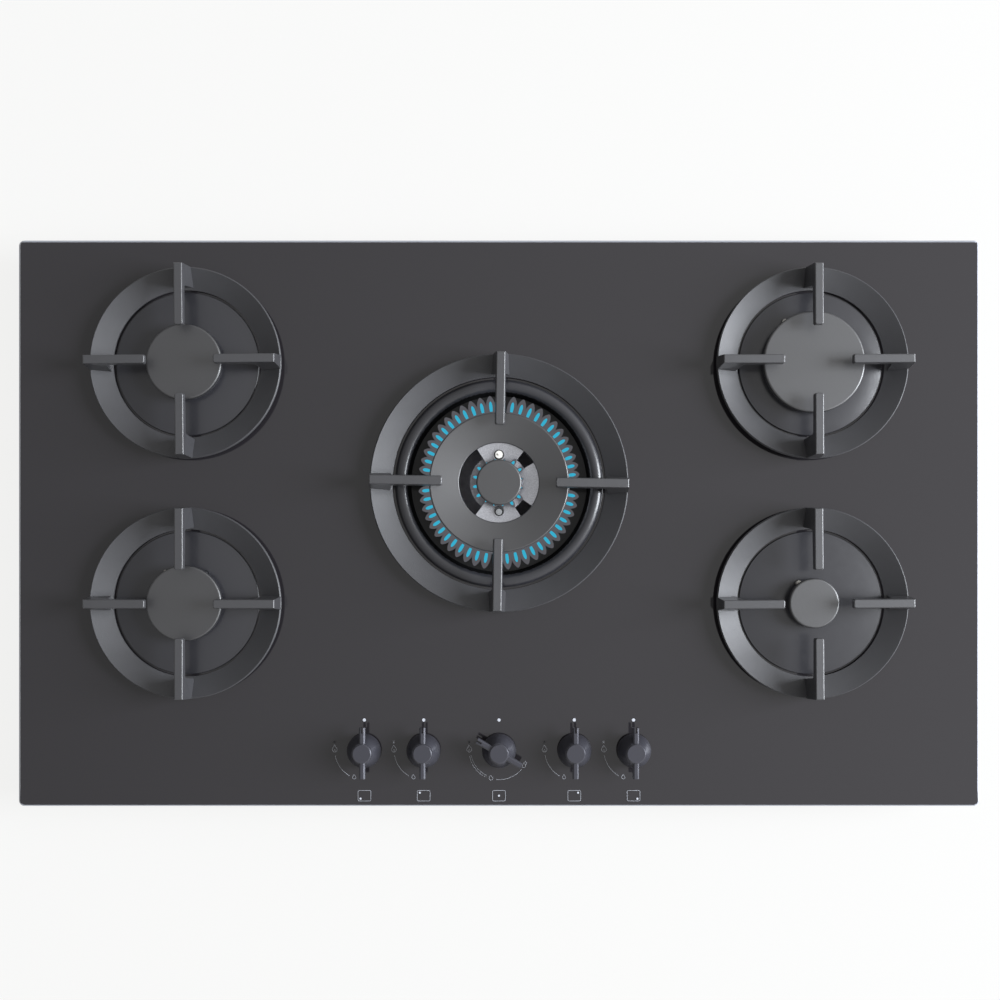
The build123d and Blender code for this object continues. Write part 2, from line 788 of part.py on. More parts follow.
def make_crown_centre():
    flange_z = top + ring_flange_h
    deck = flange_z + flange_t
    skirt_r = cup_r - cup_wall - seat_gap
    with BuildPart() as crown:
        # outer ring: a channel between two walls, closed by the ring cap
        with BuildSketch(upright(0, centre_y)):
            with BuildLine():
                Polyline(
                    (ring_wall_in, flange_z),
                    (skirt_r - skirt_wall, flange_z),
                    (skirt_r - skirt_wall, flange_z - skirt_h),
                    (skirt_r, flange_z - skirt_h),
                    (skirt_r, flange_z),
                    (ring_flange_r, flange_z),
                    (ring_flange_r, deck),
                    (ring_wall_out, deck),
                    (ring_wall_out, top + ring_crown_h),
                    (ring_wall_out - ring_wall, top + ring_crown_h),
                    (ring_wall_out - ring_wall, deck),
                    (ring_wall_in + ring_wall_thin, deck),
                    (ring_wall_in + ring_wall_thin, top + ring_crown_h),
                    (ring_wall_in, top + ring_crown_h),
                    close=True,
                )
            make_face()
        revolve(axis=upright_axis(0, centre_y))
        # inner ring with its venturi and the shelf round it
        with BuildSketch(upright(0, centre_y)):
            with BuildLine():
                Polyline(
                    (venturi_r - venturi_wall, top - venturi_drop),
                    (venturi_r, top - venturi_drop),
                    (venturi_r, top + hub_ledge_h - flange_t),
                    (hub_ledge_r, top + hub_ledge_h - flange_t),
                    (hub_ledge_r, top + hub_ledge_h),
                    (hub_wall_r, top + hub_ledge_h),
                    (hub_wall_r, top + hub_crown_h),
                    (hub_wall_r - crown_wall, top + hub_crown_h),
                    (hub_wall_r - crown_wall, top + hub_ledge_h),
                    (venturi_r - venturi_wall, top + hub_ledge_h),
                    close=True,
                )
            make_face()
        revolve(axis=upright_axis(0, centre_y))
        # lands that carry the inner ring, dished towards it
        for start, end in land_angles:
            with BuildSketch(upright_at(start)):
                with BuildLine():
                    Polyline(
                        (hub_wall_r - 1, top + land_h - land_dip - land_t),
                        (ring_wall_in + 1, top + land_h - land_t),
                        (ring_wall_in + 1, top + land_h),
                        (hub_wall_r - 1, top + land_h - land_dip),
                        close=True,
                    )
                make_face()
            revolve(axis=upright_axis(0, centre_y), revolution_arc=end - start)
        # raised bosses round the electrode and the probe
        holes = (
            (centre_electrode_y, centre_electrode_r + notch_gap),
            (centre_probe_y, centre_probe_r + notch_gap),
        )
        for away, radius in holes:
            with BuildSketch(Plane.XY.offset(top + land_h - land_dip)):
                with Locations((0, centre_y + away)):
                    Circle(radius + boss_wall)
            extrude(amount=land_dip / 2 + boss_h)
        for away, radius in holes:
            with BuildSketch(Plane.XY.offset(top)):
                with Locations((0, centre_y + away)):
                    Circle(radius)
            extrude(amount=support_h, mode=Mode.SUBTRACT)
        # flame ports of both rings
        spread = ring_port_pitch * (ring_ports - 1)
        with BuildSketch(Plane.XY.offset(top + ring_crown_h - port_h)):
            with Locations((0, centre_y)):
                for middle in (45, 135, 225, 315):
                    with PolarLocations(
                        ring_wall_out - ring_wall / 2,
                        ring_ports,
                        start_angle=middle + ring_crown_turn - spread / 2,
                        angular_range=spread,
                        endpoint=True,
                    ):
                        Rectangle(ring_wall + 1, port_w)
        extrude(amount=port_h, mode=Mode.SUBTRACT)
        with BuildSketch(Plane.XY.offset(top + hub_crown_h - port_h / 2)):
            with Locations((0, centre_y)):
                with PolarLocations(
                    hub_wall_r - crown_wall / 2, hub_ports, start_angle=hub_port_turn
                ):
                    Rectangle(crown_wall + 1, port_w)
        extrude(amount=port_h, mode=Mode.SUBTRACT)
        # gas feeds into the channel
        with BuildSketch(Plane.XY.offset(flange_z)):
            with Locations((0, centre_y)):
                with PolarLocations((ring_wall_in + ring_wall_out) / 2, feed_count):
                    Circle(feed_r)
        extrude(amount=flange_t, mode=Mode.SUBTRACT)
    save(crown, "crown_centre")


def make_ring_cap():
    low = top + ring_crown_h
    high = top + ring_cap_h
    dip = high - ring_cap_dip
    rib_r = ring_wall_out - ring_wall - rib_gap
    with BuildPart() as cap:
        with BuildSketch(upright(0, centre_y)):
            with BuildLine():
                Polyline(
                    (ring_cap_hole_r + ring_cap_edge, low),
                    (rib_r - rib_wall, low),
                    (rib_r - rib_wall, low - rib_h),
                    (rib_r, low - rib_h),
                    (rib_r, low),
                    (ring_cap_r - cap_under_r, low),
                    (ring_cap_r, low + cap_under_r),
                    (ring_cap_r, high - ring_cap_edge),
                )
                RadiusArc(
                    (ring_cap_r, high - ring_cap_edge),
                    (ring_cap_r - ring_cap_edge, high),
                    -ring_cap_edge,
                )
                Line((ring_cap_r - ring_cap_edge, high), (ring_cap_hole_r + ring_cap_edge, dip))
                RadiusArc(
                    (ring_cap_hole_r + ring_cap_edge, dip),
                    (ring_cap_hole_r, dip - ring_cap_edge),
                    -ring_cap_edge,
                )
                Line((ring_cap_hole_r, dip - ring_cap_edge), (ring_cap_hole_r + ring_cap_edge, low))
            make_face()
        revolve(axis=upright_axis(0, centre_y))
    save(cap, "cap_centre_ring")


def make_hub_cap():
    rib_r = hub_wall_r - crown_wall - rib_gap
    with BuildPart() as cap:
        with BuildSketch(Plane.XY.offset(top + hub_crown_h)):
            with Locations((0, centre_y)):
                Circle(hub_cap_r)
        extrude(amount=hub_cap_t)
        fillet(cap.faces().sort_by(Axis.Z)[-1].edges(), cap_edge_r)
        fillet(cap.faces().sort_by(Axis.Z)[0].edges(), cap_under_r)
        with BuildSketch(Plane.XY.offset(top + hub_crown_h)):
            with Locations((0, centre_y)):
                Circle(rib_r)
                Circle(rib_r - rib_wall, mode=Mode.SUBTRACT)
        extrude(amount=-rib_h)
    save(cap, "cap_centre_hub")


def make_drip_bowl():
    rim = (bowl_rim_r, top + bowl_rim_h)
    floor = top - bowl_depth
    collar = cup_r + bowl_gap
    well_foot = bowl_well_r - bowl_draft
    with BuildPart() as drip_bowl:
        with BuildSketch(upright(0, centre_y)):
            with BuildLine():
                Line((bowl_rim_r, top), rim)
                ThreePointArc(rim, (bowl_crest_r, top + bowl_crest_h), (bowl_well_r, top))
                Polyline(
                    (bowl_well_r, top),
                    (well_foot, floor + bowl_t),
                    (collar + bowl_t, floor + bowl_t),
                    (collar + bowl_t, top + bowl_collar_h),
                    (collar, top + bowl_collar_h),
                    (collar, floor),
                    (well_foot + bowl_t, floor),
                    (bowl_well_r + bowl_t, top),
                )
                ThreePointArc(
                    (bowl_well_r + bowl_t, top),
                    (bowl_crest_r, top + bowl_crest_h - bowl_t),
                    (bowl_rim_r - bowl_t, top + bowl_rim_h - bowl_t / 2),
                )
                Polyline(
                    (bowl_rim_r - bowl_t, top + bowl_rim_h - bowl_t / 2),
                    (bowl_rim_r - bowl_t, top),
                    (bowl_rim_r, top),
                )
            make_face()
        revolve(axis=upright_axis(0, centre_y))
    save(drip_bowl, "drip_bowl")


# ---------------------------------------------------------------- electrodes, probes and jets
def turned(x, y, steps):
    """A stepped round pin: each step is a radius and its lower and upper height."""
    for radius, low, high in steps:
        with Locations((x, y, low)):
            Cylinder(radius, high - low, align=(Align.CENTER, Align.CENTER, Align.MIN))


def make_spark_electrodes():
    with BuildPart() as spark_electrodes:
        for _, x, y, cap_r, _, _ in BURNERS:
            at = around(x, y, cap_r - electrode_in, electrode_angle)
            steps = [
                (electrode_r, deck_top - deck_t - stem_drop, top + electrode_h),
                (electrode_r + collar_over, deck_top, deck_top + collar_t),
                (electrode_pin_r, top + electrode_h, top + electrode_pin_h),
            ]
            turned(*at, steps)
        steps = [
            (centre_electrode_r, seat_top + base_t, top + centre_electrode_h),
            (electrode_pin_r, top + centre_electrode_h, top + centre_electrode_pin_h),
        ]
        turned(0, centre_y + centre_electrode_y, steps)
    save(spark_electrodes, "spark_electrodes")


def make_flame_probes():
    with BuildPart() as flame_probes:
        for _, x, y, cap_r, _, _ in BURNERS:
            at = around(x, y, cap_r - probe_in, probe_angle)
            steps = [
                (probe_r, deck_top - deck_t - stem_drop, top + probe_h),
                (probe_r + collar_over, deck_top, deck_top + collar_t),
            ]
            turned(*at, steps)
        steps = [
            (centre_probe_r, seat_top + base_t, top + centre_probe_h),
            (centre_probe_tip_r, top + centre_probe_h, top + centre_probe_tip_h),
        ]
        turned(0, centre_y + centre_probe_y, steps)
    save(flame_probes, "flame_probes")


def make_jets():
    low = pipe_z + hub_rise
    places = [(x, y) for _, x, y, _, _, _ in BURNERS]
    places += [(0, centre_y), (ring_pipe_x, ring_jet_y())]
    with BuildPart() as jets:
        for x, y in places:
            steps = [
                (jet_r, low, low + jet_h),
                (jet_tip_r, low + jet_h, low + jet_h + jet_tip_h),
            ]
            turned(x, y, steps)
    save(jets, "jets")


# ---------------------------------------------------------------- pan supports
def make_pan_support(name, x, y, ring_r, hole_r, tip_r, finger_w, draft, turn):
    lean = tan(radians(draft))
    slope = (ring_h - ring_lip_h) / (ring_r - hole_r)
    low = foot_t
    # one finger, lying along X
    with BuildPart() as finger:
        with BuildSketch(Plane.YZ.offset(tip_r)):
            half = finger_w / 2
            foot_half = half + (support_h - low) * lean
            with BuildLine():
                Polyline(
                    (-foot_half, top + low),
                    (foot_half, top + low),
                    (half, top + support_h),
                    (-half, top + support_h),
                    close=True,
                )
            make_face()
        extrude(amount=ring_r - tip_r)
        with BuildSketch(Plane.XZ) as side:
            shoulder = (hole_r - post_reach, top + support_h - finger_root_t)
            heel = top + ring_lip_h + post_heel * slope - ring_skin / 2
            with BuildLine():
                Polyline(
                    (tip_r, top + support_h),
                    (tip_r, top + support_h - finger_tip_t),
                    shoulder,
                    (hole_r + post_heel, heel),
                    (ring_r - finger_foot_in, top + ring_h - ring_skin / 2),
                    (ring_r - finger_set_in, top + support_h),
                    close=True,
                )
            make_face()
            fillet(side.vertices().sort_by_distance(shoulder)[0], post_r)
        extrude(amount=foot_half * 2, both=True, mode=Mode.INTERSECT)
        tip_sides = finger.faces().sort_by(Axis.X)[0].edges().sort_by(Axis.Y)
        fillet([tip_sides[0], tip_sides[-1]], finger_tip_r)
        fillet(finger.faces().sort_by(Axis.Z)[-1].edges(), finger_edge_r)
    # the hollow under the dished ring, open all round its rim, less the bosses of its feet
    foot_at = (ring_r + hole_r) / 2
    with BuildPart() as hollow:
        inner = hole_r + ring_web
        outer = ring_r - ring_web
        roof = top + ring_lip_h + (outer - hole_r) * slope - ring_skin
        with BuildSketch(upright(x, y)):
            with BuildLine():
                Polyline(
                    (inner, top),
                    (ring_r + ring_web, top),
                    (ring_r + ring_web, roof),
                    (outer, roof),
                    (inner, top + ring_lip_h + ring_web * slope - ring_skin),
                    close=True,
                )
            make_face()
        revolve(axis=upright_axis(x, y))
        with BuildSketch(Plane.XY.offset(top)):
            with Locations((x, y)):
                with PolarLocations(foot_at, 4, start_angle=45 + turn):
                    Circle(foot_r)
        extrude(amount=ring_h, mode=Mode.SUBTRACT)
    with BuildPart() as support:
        with BuildSketch(upright(x, y)):
            with BuildLine():
                Polyline(
                    (hole_r, top + low),
                    (ring_r, top + low),
                    (ring_r, top + ring_h - ring_edge),
                    (ring_r - ring_edge, top + ring_h),
                    (hole_r, top + ring_lip_h),
                    close=True,
                )
            make_face()
        revolve(axis=upright_axis(x, y))
        add(hollow.part, mode=Mode.SUBTRACT)
        with Locations((x, y)):
            with PolarLocations(0, 4, start_angle=turn):
                add(finger.part)
        with BuildSketch(Plane.XY.offset(top + low)):
            with Locations((x, y)):
                with PolarLocations(foot_at, 4, start_angle=45 + turn):
                    Circle(foot_stem_r + foot_stem_gap)
        extrude(amount=foot_stem_h + foot_stem_gap, mode=Mode.SUBTRACT)
    save(support, f"pan_support_{name}")
    with BuildPart() as feet:
        for angle in (45, 135, 225, 315):
            steps = [
                (foot_r, top, top + foot_t),
                (foot_stem_r, top + foot_t, top + foot_t + foot_stem_h),
            ]
            turned(*around(x, y, foot_at, angle + turn), steps)
    save(feet, f"rubber_feet_{name}")


# ---------------------------------------------------------------- knobs, spindles and taps
def d_shape(gap):
    """The spindle's section, a circle with a flat, in the sketch in use."""
    Circle(spindle_r + gap)
    with Locations((spindle_flat + gap + spindle_r, 0)):
        Rectangle(2 * spindle_r, 4 * spindle_r, mode=Mode.SUBTRACT)


def make_knobs():
    low = top + knob_clear
    high = top + knob_h
    disc_low = high - knob_disc_t
    waist_r = (knob_r + knob_disc_r) / 2
    # one knob on the Z axis, pointing along Y
    with BuildPart() as shape:
        with BuildSketch(upright(0, 0)):
            with BuildLine():
                Line((knob_r, low), (knob_r, low + knob_rim_h))
                ThreePointArc(
                    (knob_r, low + knob_rim_h),
                    (waist_r + knob_swell, (low + knob_rim_h + disc_low) / 2 + knob_swell),
                    (knob_disc_r + knob_step, disc_low),
                )
                Polyline(
                    (knob_disc_r + knob_step, disc_low),
                    (knob_disc_r, disc_low),
                    (knob_disc_r, high - knob_disc_edge),
                    (knob_disc_r - knob_disc_edge, high),
                    (0, high),
                    (0, low),
                    (knob_hub_r, low),
                    (knob_hub_r, disc_low - knob_skin * 2),
                    (knob_disc_r - knob_skin, disc_low - knob_skin * 2),
                    (knob_r - knob_skin, low + knob_rim_h),
                    (knob_r - knob_skin, low),
                    (knob_r, low),
                )
            make_face()
        revolve(axis=Axis.Z)
        # cross bar with bevelled edges
        with BuildSketch(Plane.XZ):
            half = bar_w / 2
            with BuildLine():
                Polyline(
                    (-half, top + bar_bottom),
                    (half, top + bar_bottom),
                    (half, top + bar_top - bar_bevel),
                    (half - bar_bevel, top + bar_top),
                    (-half + bar_bevel, top + bar_top),
                    (-half, top + bar_top - bar_bevel),
                    close=True,
                )
            make_face()
        extrude(amount=bar_len / 2, both=True)
        # slot at the pointing end
        with BuildSketch(Plane.XY.offset(top)):
            with Locations((0, bar_len / 2)):
                Rectangle(slot_w, 2 * slot_len)
        extrude(amount=knob_h, mode=Mode.SUBTRACT)
        # bore for the spindle
        with BuildSketch(Plane.XY.offset(low)):
            d_shape(fit_gap)
        extrude(amount=bore_top - knob_clear, mode=Mode.SUBTRACT)
    for index, x in enumerate(knob_x):
        with BuildPart() as knob:
            with Locations(Location((x, knob_y, 0), (0, 0, knob_turn(index)))):
                add(shape.part)
        save(knob, f"knob_{index + 1}")


def make_spindle(index):
    way = Vector(cos(radians(knob_turn(index))), sin(radians(knob_turn(index))), 0)
    low = plug_bottom + plug_floor + press + press_spare
    with BuildPart() as spindle:
        with BuildSketch(Plane(origin=(knob_x[index], knob_y, low), x_dir=way, z_dir=(0, 0, 1))):
            d_shape(0)
        extrude(amount=top + bore_top - low)
        chamfer(spindle.faces().sort_by(Axis.Z)[-1].edges(), spindle_edge)
    save(spindle, f"spindle_{index + 1}")


def make_tap_plug(index):
    x = knob_x[index]
    way = Vector(cos(radians(knob_turn(index))), sin(radians(knob_turn(index))), 0)
    with BuildPart() as plug:
        with BuildSketch(upright(x, knob_y)):
            with BuildLine():
                Polyline(
                    (0, plug_bottom),
                    (plug_r_low, plug_bottom),
                    (plug_r_high, plug_top),
                    (0, plug_top),
                    close=True,
                )
            make_face()
        revolve(axis=upright_axis(x, knob_y))
        bore_low = plug_bottom + plug_floor
        with BuildSketch(Plane(origin=(x, knob_y, bore_low), x_dir=way, z_dir=(0, 0, 1))):
            d_shape(fit_gap)
        extrude(amount=plug_top - bore_low, mode=Mode.SUBTRACT)
        with BuildSketch(Plane(origin=(x, knob_y, plug_port_z), x_dir=(0, 0, 1), z_dir=way)):
            Circle(plug_port_r)
        extrude(amount=plug_r_high * 2, mode=Mode.SUBTRACT)
    save(plug, f"tap_plug_{index + 1}")


def make_tap_bodies():
    rail_y = knob_y + rail_back
    with BuildPart() as tap_bodies:
        for index, x in enumerate(knob_x):
            turned(
                x, knob_y, [(tap_r, tap_bottom, tap_top), (tap_collar_r, tap_top, tap_collar_top)]
            )
            # inlet saddle to the rail, outlets to the pipes, and the safety valve's magnet
            with BuildSketch(Plane(origin=(x, knob_y, rail_z), x_dir=(1, 0, 0), z_dir=(0, 1, 0))):
                Circle(arm_r)
            extrude(amount=rail_back - rail_r / 2)
            outlets = (-twin_x, twin_x) if x == 0 else (0.0,)
            with BuildSketch(Plane(origin=(x, knob_y, pipe_z), x_dir=(1, 0, 0), z_dir=(0, 1, 0))):
                with Locations(*[(away, 0) for away in outlets]):
                    Circle(pipe_r + socket_wall)
            extrude(amount=tap_r + socket_len)
            with BuildSketch(Plane(origin=(x, knob_y, rail_z), x_dir=(0, 1, 0), z_dir=(-1, 0, 0))):
                Circle(magnet_r)
            extrude(amount=tap_r + magnet_len)
            mouth = knob_y + tap_r + socket_len
            with BuildSketch(Plane(origin=(x, mouth, pipe_z), x_dir=(1, 0, 0), z_dir=(0, 1, 0))):
                with Locations(*[(away, 0) for away in outlets]):
                    Circle(pipe_r + fit_gap)
            extrude(amount=-pipe_seat, mode=Mode.SUBTRACT)
            # tapered seat of the plug and the spindle's bore
            with BuildSketch(upright(x, knob_y)):
                with BuildLine():
                    Polyline(
                        (0, plug_bottom - fit_gap),
                        (plug_r_low + fit_gap, plug_bottom - fit_gap),
                        (plug_r_high + fit_gap, plug_top + fit_gap),
                        (spindle_r + fit_gap, plug_top + fit_gap),
                        (spindle_r + fit_gap, tap_collar_top + 1),
                        (0, tap_collar_top + 1),
                        close=True,
                    )
                make_face()
            revolve(axis=upright_axis(x, knob_y), mode=Mode.SUBTRACT)
        # hollow saddles round the rail
        with BuildSketch(Plane.YZ.offset(rail_left_x)):
            with Locations((rail_y, rail_z)):
                Circle(rail_r + rail_gap)
        extrude(amount=rail_right_x - rail_left_x, mode=Mode.SUBTRACT)
    save(tap_bodies, "tap_bodies")


def make_ignition_switches():
    with BuildPart() as ignition_switches:
        with BuildSketch(Plane.XY.offset(tap_top)):
            with Locations(*[(x, knob_y) for x in knob_x]):
                Rectangle(switch_w, switch_d)
                Circle(tap_collar_r + seat_gap, mode=Mode.SUBTRACT)
        extrude(amount=switch_t)
    save(ignition_switches, "ignition_switches")


def make_spindle_bushes():
    with BuildPart() as spindle_bushes:
        for x in knob_x:
            turned(
                x,
                knob_y,
                [
                    (bush_hole_r - bush_gap, tray_h, top),
                    (bush_lip_r, top, top + bush_lip_t),
                ],
            )
        with BuildSketch(Plane.XY.offset(tray_h)):
            with Locations(*[(x, knob_y) for x in knob_x]):
                Circle(bush_bore_r)
        extrude(amount=glass_t + bush_lip_t, mode=Mode.SUBTRACT)
    save(spindle_bushes, "spindle_bushes")


# ---------------------------------------------------------------- gas rail, pipes and fittings
def swept_rod(points, bend_r, radius):
    """A round rod along straight runs joined by bends."""
    with BuildPart() as rod:
        with BuildLine() as path:
            FilletPolyline(*points, radius=bend_r)
        with BuildSketch(Plane(origin=path.line @ 0, z_dir=path.line % 0)):
            Circle(radius)
        sweep(path=path.line)
    return rod.part


def make_gas_rail():
    rail_y = knob_y + rail_back
    rail_end = tray_d / 2 - pocket_d - sheet_t - inlet_nut_t
    with BuildPart() as gas_rail:
        route = [
            (rail_left_x, rail_y, rail_z),
            (rail_right_x, rail_y, rail_z),
            (rail_right_x, rail_end, rail_z),
        ]
        add(swept_rod(route, rail_bend_r, rail_r))
        # saddles that stand on the tray's floor
        height = rail_z + rail_r + saddle_over - sheet_t
        for x in saddle_x:
            with BuildSketch(Plane.YZ.offset(x)):
                with Locations((rail_y, sheet_t)):
                    Rectangle(saddle_w, height, align=(Align.CENTER, Align.MIN))
            extrude(amount=saddle_t)
            with BuildSketch(Plane.XY.offset(sheet_t)):
                with Locations((x, rail_y)):
                    Rectangle(saddle_w / 2, saddle_w, align=(Align.MIN, Align.CENTER))
            extrude(amount=saddle_t / 2)
    save(gas_rail, "gas_rail")


def pipe_routes():
    """Each pipe from its tap to its burner, as points in the pipes' plane."""
    start_y = knob_y + tap_r + socket_len - pipe_seat
    lane_y = knob_y + lane_back
    routes = []
    for (name, x, y, cap_r, _, gas_angle), tap in zip(BURNERS, (1, 0, 3, 4)):
        reach = cap_r + deck_over
        entry = around(x, y, reach, gas_angle)
        side = -1 if x < 0 else 1
        tap_x = knob_x[tap]
        if name.endswith("f"):
            corner = around(x, y, (y - lane_y) / abs(sin(radians(gas_angle))), gas_angle)
            points = [(tap_x, start_y), (tap_x, lane_y), corner, entry]
        else:
            away = (abs(x) - lane_x) / abs(cos(radians(gas_angle)))
            corner = around(x, y, away, gas_angle)
            points = [
                (tap_x, start_y),
                (tap_x, lane_y + lane_step),
                (side * lane_x, lane_y + 2 * lane_step),
                corner,
                entry,
            ]
        routes.append(points)
    cup_front = centre_y - cup_base_r
    routes.append([(twin_x, start_y), (twin_x, cup_front)])
    routes.append(
        [
            (-twin_x, start_y),
            (-twin_x, lane_y + lane_step / 2),
            (ring_pipe_x, lane_y + 1.5 * lane_step),
            (ring_pipe_x, cup_front),
        ]
    )
    return routes


def make_gas_pipes():
    with BuildPart() as gas_pipes:
        for points in pipe_routes():
            points = [(px, py, pipe_z) for px, py in points]
            if len(points) == 2:
                with BuildSketch(Plane(origin=points[0], x_dir=(1, 0, 0), z_dir=(0, 1, 0))):
                    Circle(pipe_r)
                extrude(amount=points[1][1] - points[0][1])
            else:
                add(swept_rod(points, pipe_bend_r, pipe_r))
    save(gas_pipes, "gas_pipes")


def make_inlet_elbow():
    wall_y = tray_d / 2 - pocket_d - sheet_t
    with BuildPart() as inlet_elbow:
        turned(
            rail_right_x,
            inlet_y,
            [
                (inlet_r, inlet_low_z, inlet_low_z + inlet_len),
                (inlet_body_r, inlet_low_z + inlet_len, rail_z + inlet_neck_r),
            ],
        )
        at = Plane(origin=(rail_right_x, inlet_y, rail_z), x_dir=(1, 0, 0), z_dir=(0, -1, 0))
        with BuildSketch(at):
            Circle(inlet_neck_r)
        extrude(amount=inlet_y - wall_y + inlet_nut_t)
        nut = Plane(origin=(rail_right_x, wall_y, rail_z), x_dir=(1, 0, 0), z_dir=(0, -1, 0))
        with BuildSketch(nut):
            RegularPolygon(inlet_nut_r, 6)
        extrude(amount=inlet_nut_t)
    save(inlet_elbow, "inlet_elbow")


def make_spark_generator():
    with BuildPart() as spark_generator:
        with BuildSketch(Plane.XY.offset(sheet_t)):
            with Locations((0, generator_y)):
                Rectangle(generator_w, generator_d)
        extrude(amount=generator_h)
        fillet(spark_generator.edges().filter_by(Axis.Z), generator_edge_r)
        with BuildSketch(Plane.XY.offset(sheet_t)):
            with Locations((0, generator_y)):
                RectangleRounded(
                    generator_w + 2 * generator_ear, generator_ear * 2, generator_ear_r
                )
                with GridLocations(generator_w + generator_ear, 0, 2, 1):
                    Circle(screw_r, mode=Mode.SUBTRACT)
        extrude(amount=sheet_t * 2)
        with BuildSketch(Plane.XY.offset(sheet_t + generator_h)):
            with Locations((0, generator_y)):
                with GridLocations(generator_w / 6, 0, len(knob_x), 1):
                    Circle(generator_post_r)
        extrude(amount=generator_post_h)
    save(spark_generator, "spark_generator")


def make_cable_gland():
    wall = Plane(origin=(gland_x, tray_d / 2, gland_z), x_dir=(1, 0, 0), z_dir=(0, 1, 0))
    with BuildPart() as cable_gland:
        with BuildSketch(wall):
            RegularPolygon(gland_nut_r, 6)
        extrude(amount=gland_len)
        with BuildSketch(wall):
            Circle(gland_r)
        extrude(amount=-gland_len * 2)
        with BuildSketch(wall.offset(-sheet_t)):
            RegularPolygon(gland_nut_r, 6)
        extrude(amount=-gland_len / 2)
        with BuildSketch(wall.offset(gland_len)):
            Circle(gland_bore_r)
        extrude(amount=-gland_len * 4, mode=Mode.SUBTRACT)
    save(cable_gland, "cable_gland")


# ---------------------------------------------------------------- clamps and screws
def make_worktop_clamps():
    with BuildPart() as worktop_clamps:
        for plane in clamp_planes():
            with BuildSketch(plane):
                with Locations((0, clamp_arm_z)):
                    Rectangle(clamp_w, clamp_leg_z - clamp_arm_z, align=(Align.CENTER, Align.MIN))
            extrude(amount=clamp_t)
            with BuildSketch(plane):
                with Locations((0, clamp_arm_z)):
                    Rectangle(clamp_w, clamp_t, align=(Align.CENTER, Align.MIN))
            extrude(amount=clamp_reach)
            with BuildSketch(plane.offset(clamp_reach - clamp_t)):
                with Locations((0, clamp_arm_z)):
                    Rectangle(clamp_w, clamp_t + clamp_lip_h, align=(Align.CENTER, Align.MIN))
            extrude(amount=clamp_t)
            with BuildSketch(plane):
                with Locations((0, clamp_screw_z)):
                    SlotOverall(clamp_slot_len, 2 * (screw_r + screw_gap), rotation=90)
            extrude(amount=clamp_t, mode=Mode.SUBTRACT)
    save(worktop_clamps, "worktop_clamps")


def make_screws():
    with BuildPart() as screws:
        for x, y in cup_screws():
            seat = seat_top - sheet_t
            turned(
                x,
                y,
                [(screw_head_r, seat - screw_head_t, seat), (screw_r, seat, seat_top + base_t)],
            )
        for plane in clamp_planes():
            with BuildSketch(plane.offset(clamp_t)):
                with Locations((0, clamp_screw_z)):
                    Circle(screw_head_r)
            extrude(amount=screw_head_t)
            with BuildSketch(plane.offset(clamp_t)):
                with Locations((0, clamp_screw_z)):
                    Circle(screw_r)
            extrude(amount=-screw_turn_in)
    save(screws, "screws")


# ---------------------------------------------------------------- the whole cooktop
make_glass_top()
make_worktop_seal()
make_tray()
make_tray_walls()
for burner, bx, by, cap_radius, port_count, gas_way in BURNERS:
    make_burner_cup(burner, bx, by, cap_radius, gas_way)
    make_crown(burner, bx, by, cap_radius, port_count)
    make_cap(burner, bx, by, cap_radius)
    make_pan_support(
        burner,
        bx,
        by,
        small_ring_r,
        small_ring_hole_r,
        small_tip_r,
        small_finger_w,
        small_finger_draft,
        SUPPORT_TURNS[burner],
    )
make_spill_dishes()
make_burner_cup_centre()
make_crown_centre()
make_ring_cap()
make_hub_cap()
make_drip_bowl()
make_pan_support(
    "centre",
    0,
    centre_y,
    large_ring_r,
    large_ring_hole_r,
    large_tip_r,
    large_finger_w,
    large_finger_draft,
    SUPPORT_TURNS["centre"],
)
make_spark_electrodes()
make_flame_probes()
make_jets()
make_knobs()
for number in range(len(knob_x)):
    make_spindle(number)
    make_tap_plug(number)
make_tap_bodies()
make_ignition_switches()
make_spindle_bushes()
make_gas_rail()
make_gas_pipes()
make_inlet_elbow()
make_spark_generator()
make_cable_gland()
make_worktop_clamps()
make_screws()
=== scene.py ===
"""Looks for the built-in gas cooktop: finishes, printed marks, flames, studio and camera.

Metres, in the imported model's frame: X to the right, Y to the rear, Z up, with the tray's underside
at zero. Sizes written in millimetres go through MM.
"""

import math

import bmesh
import bpy
from bpy.props import BoolProperty, FloatProperty, FloatVectorProperty, PointerProperty
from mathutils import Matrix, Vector


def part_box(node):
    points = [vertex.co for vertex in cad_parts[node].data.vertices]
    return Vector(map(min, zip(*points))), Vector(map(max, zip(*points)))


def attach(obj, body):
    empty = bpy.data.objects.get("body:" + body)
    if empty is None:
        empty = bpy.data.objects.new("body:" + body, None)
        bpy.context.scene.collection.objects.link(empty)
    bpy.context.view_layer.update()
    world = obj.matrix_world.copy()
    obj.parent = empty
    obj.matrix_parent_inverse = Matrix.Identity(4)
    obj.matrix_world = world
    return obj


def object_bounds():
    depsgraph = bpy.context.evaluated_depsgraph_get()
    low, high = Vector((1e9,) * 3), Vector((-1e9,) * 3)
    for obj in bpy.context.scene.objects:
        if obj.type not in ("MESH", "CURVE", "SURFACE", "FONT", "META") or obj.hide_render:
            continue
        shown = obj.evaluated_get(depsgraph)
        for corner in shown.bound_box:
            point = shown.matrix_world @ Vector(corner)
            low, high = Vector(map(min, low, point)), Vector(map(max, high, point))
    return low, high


bl_info = {
    "name": "Gas Cooktop Finishes",
    "version": (1, 0, 0),
    "blender": (4, 5, 0),
    "location": "View3D > Sidebar > Cooktop",
    "description": "Finishes, printed marks, flames and studio for a built-in gas cooktop",
    "category": "Object",
}

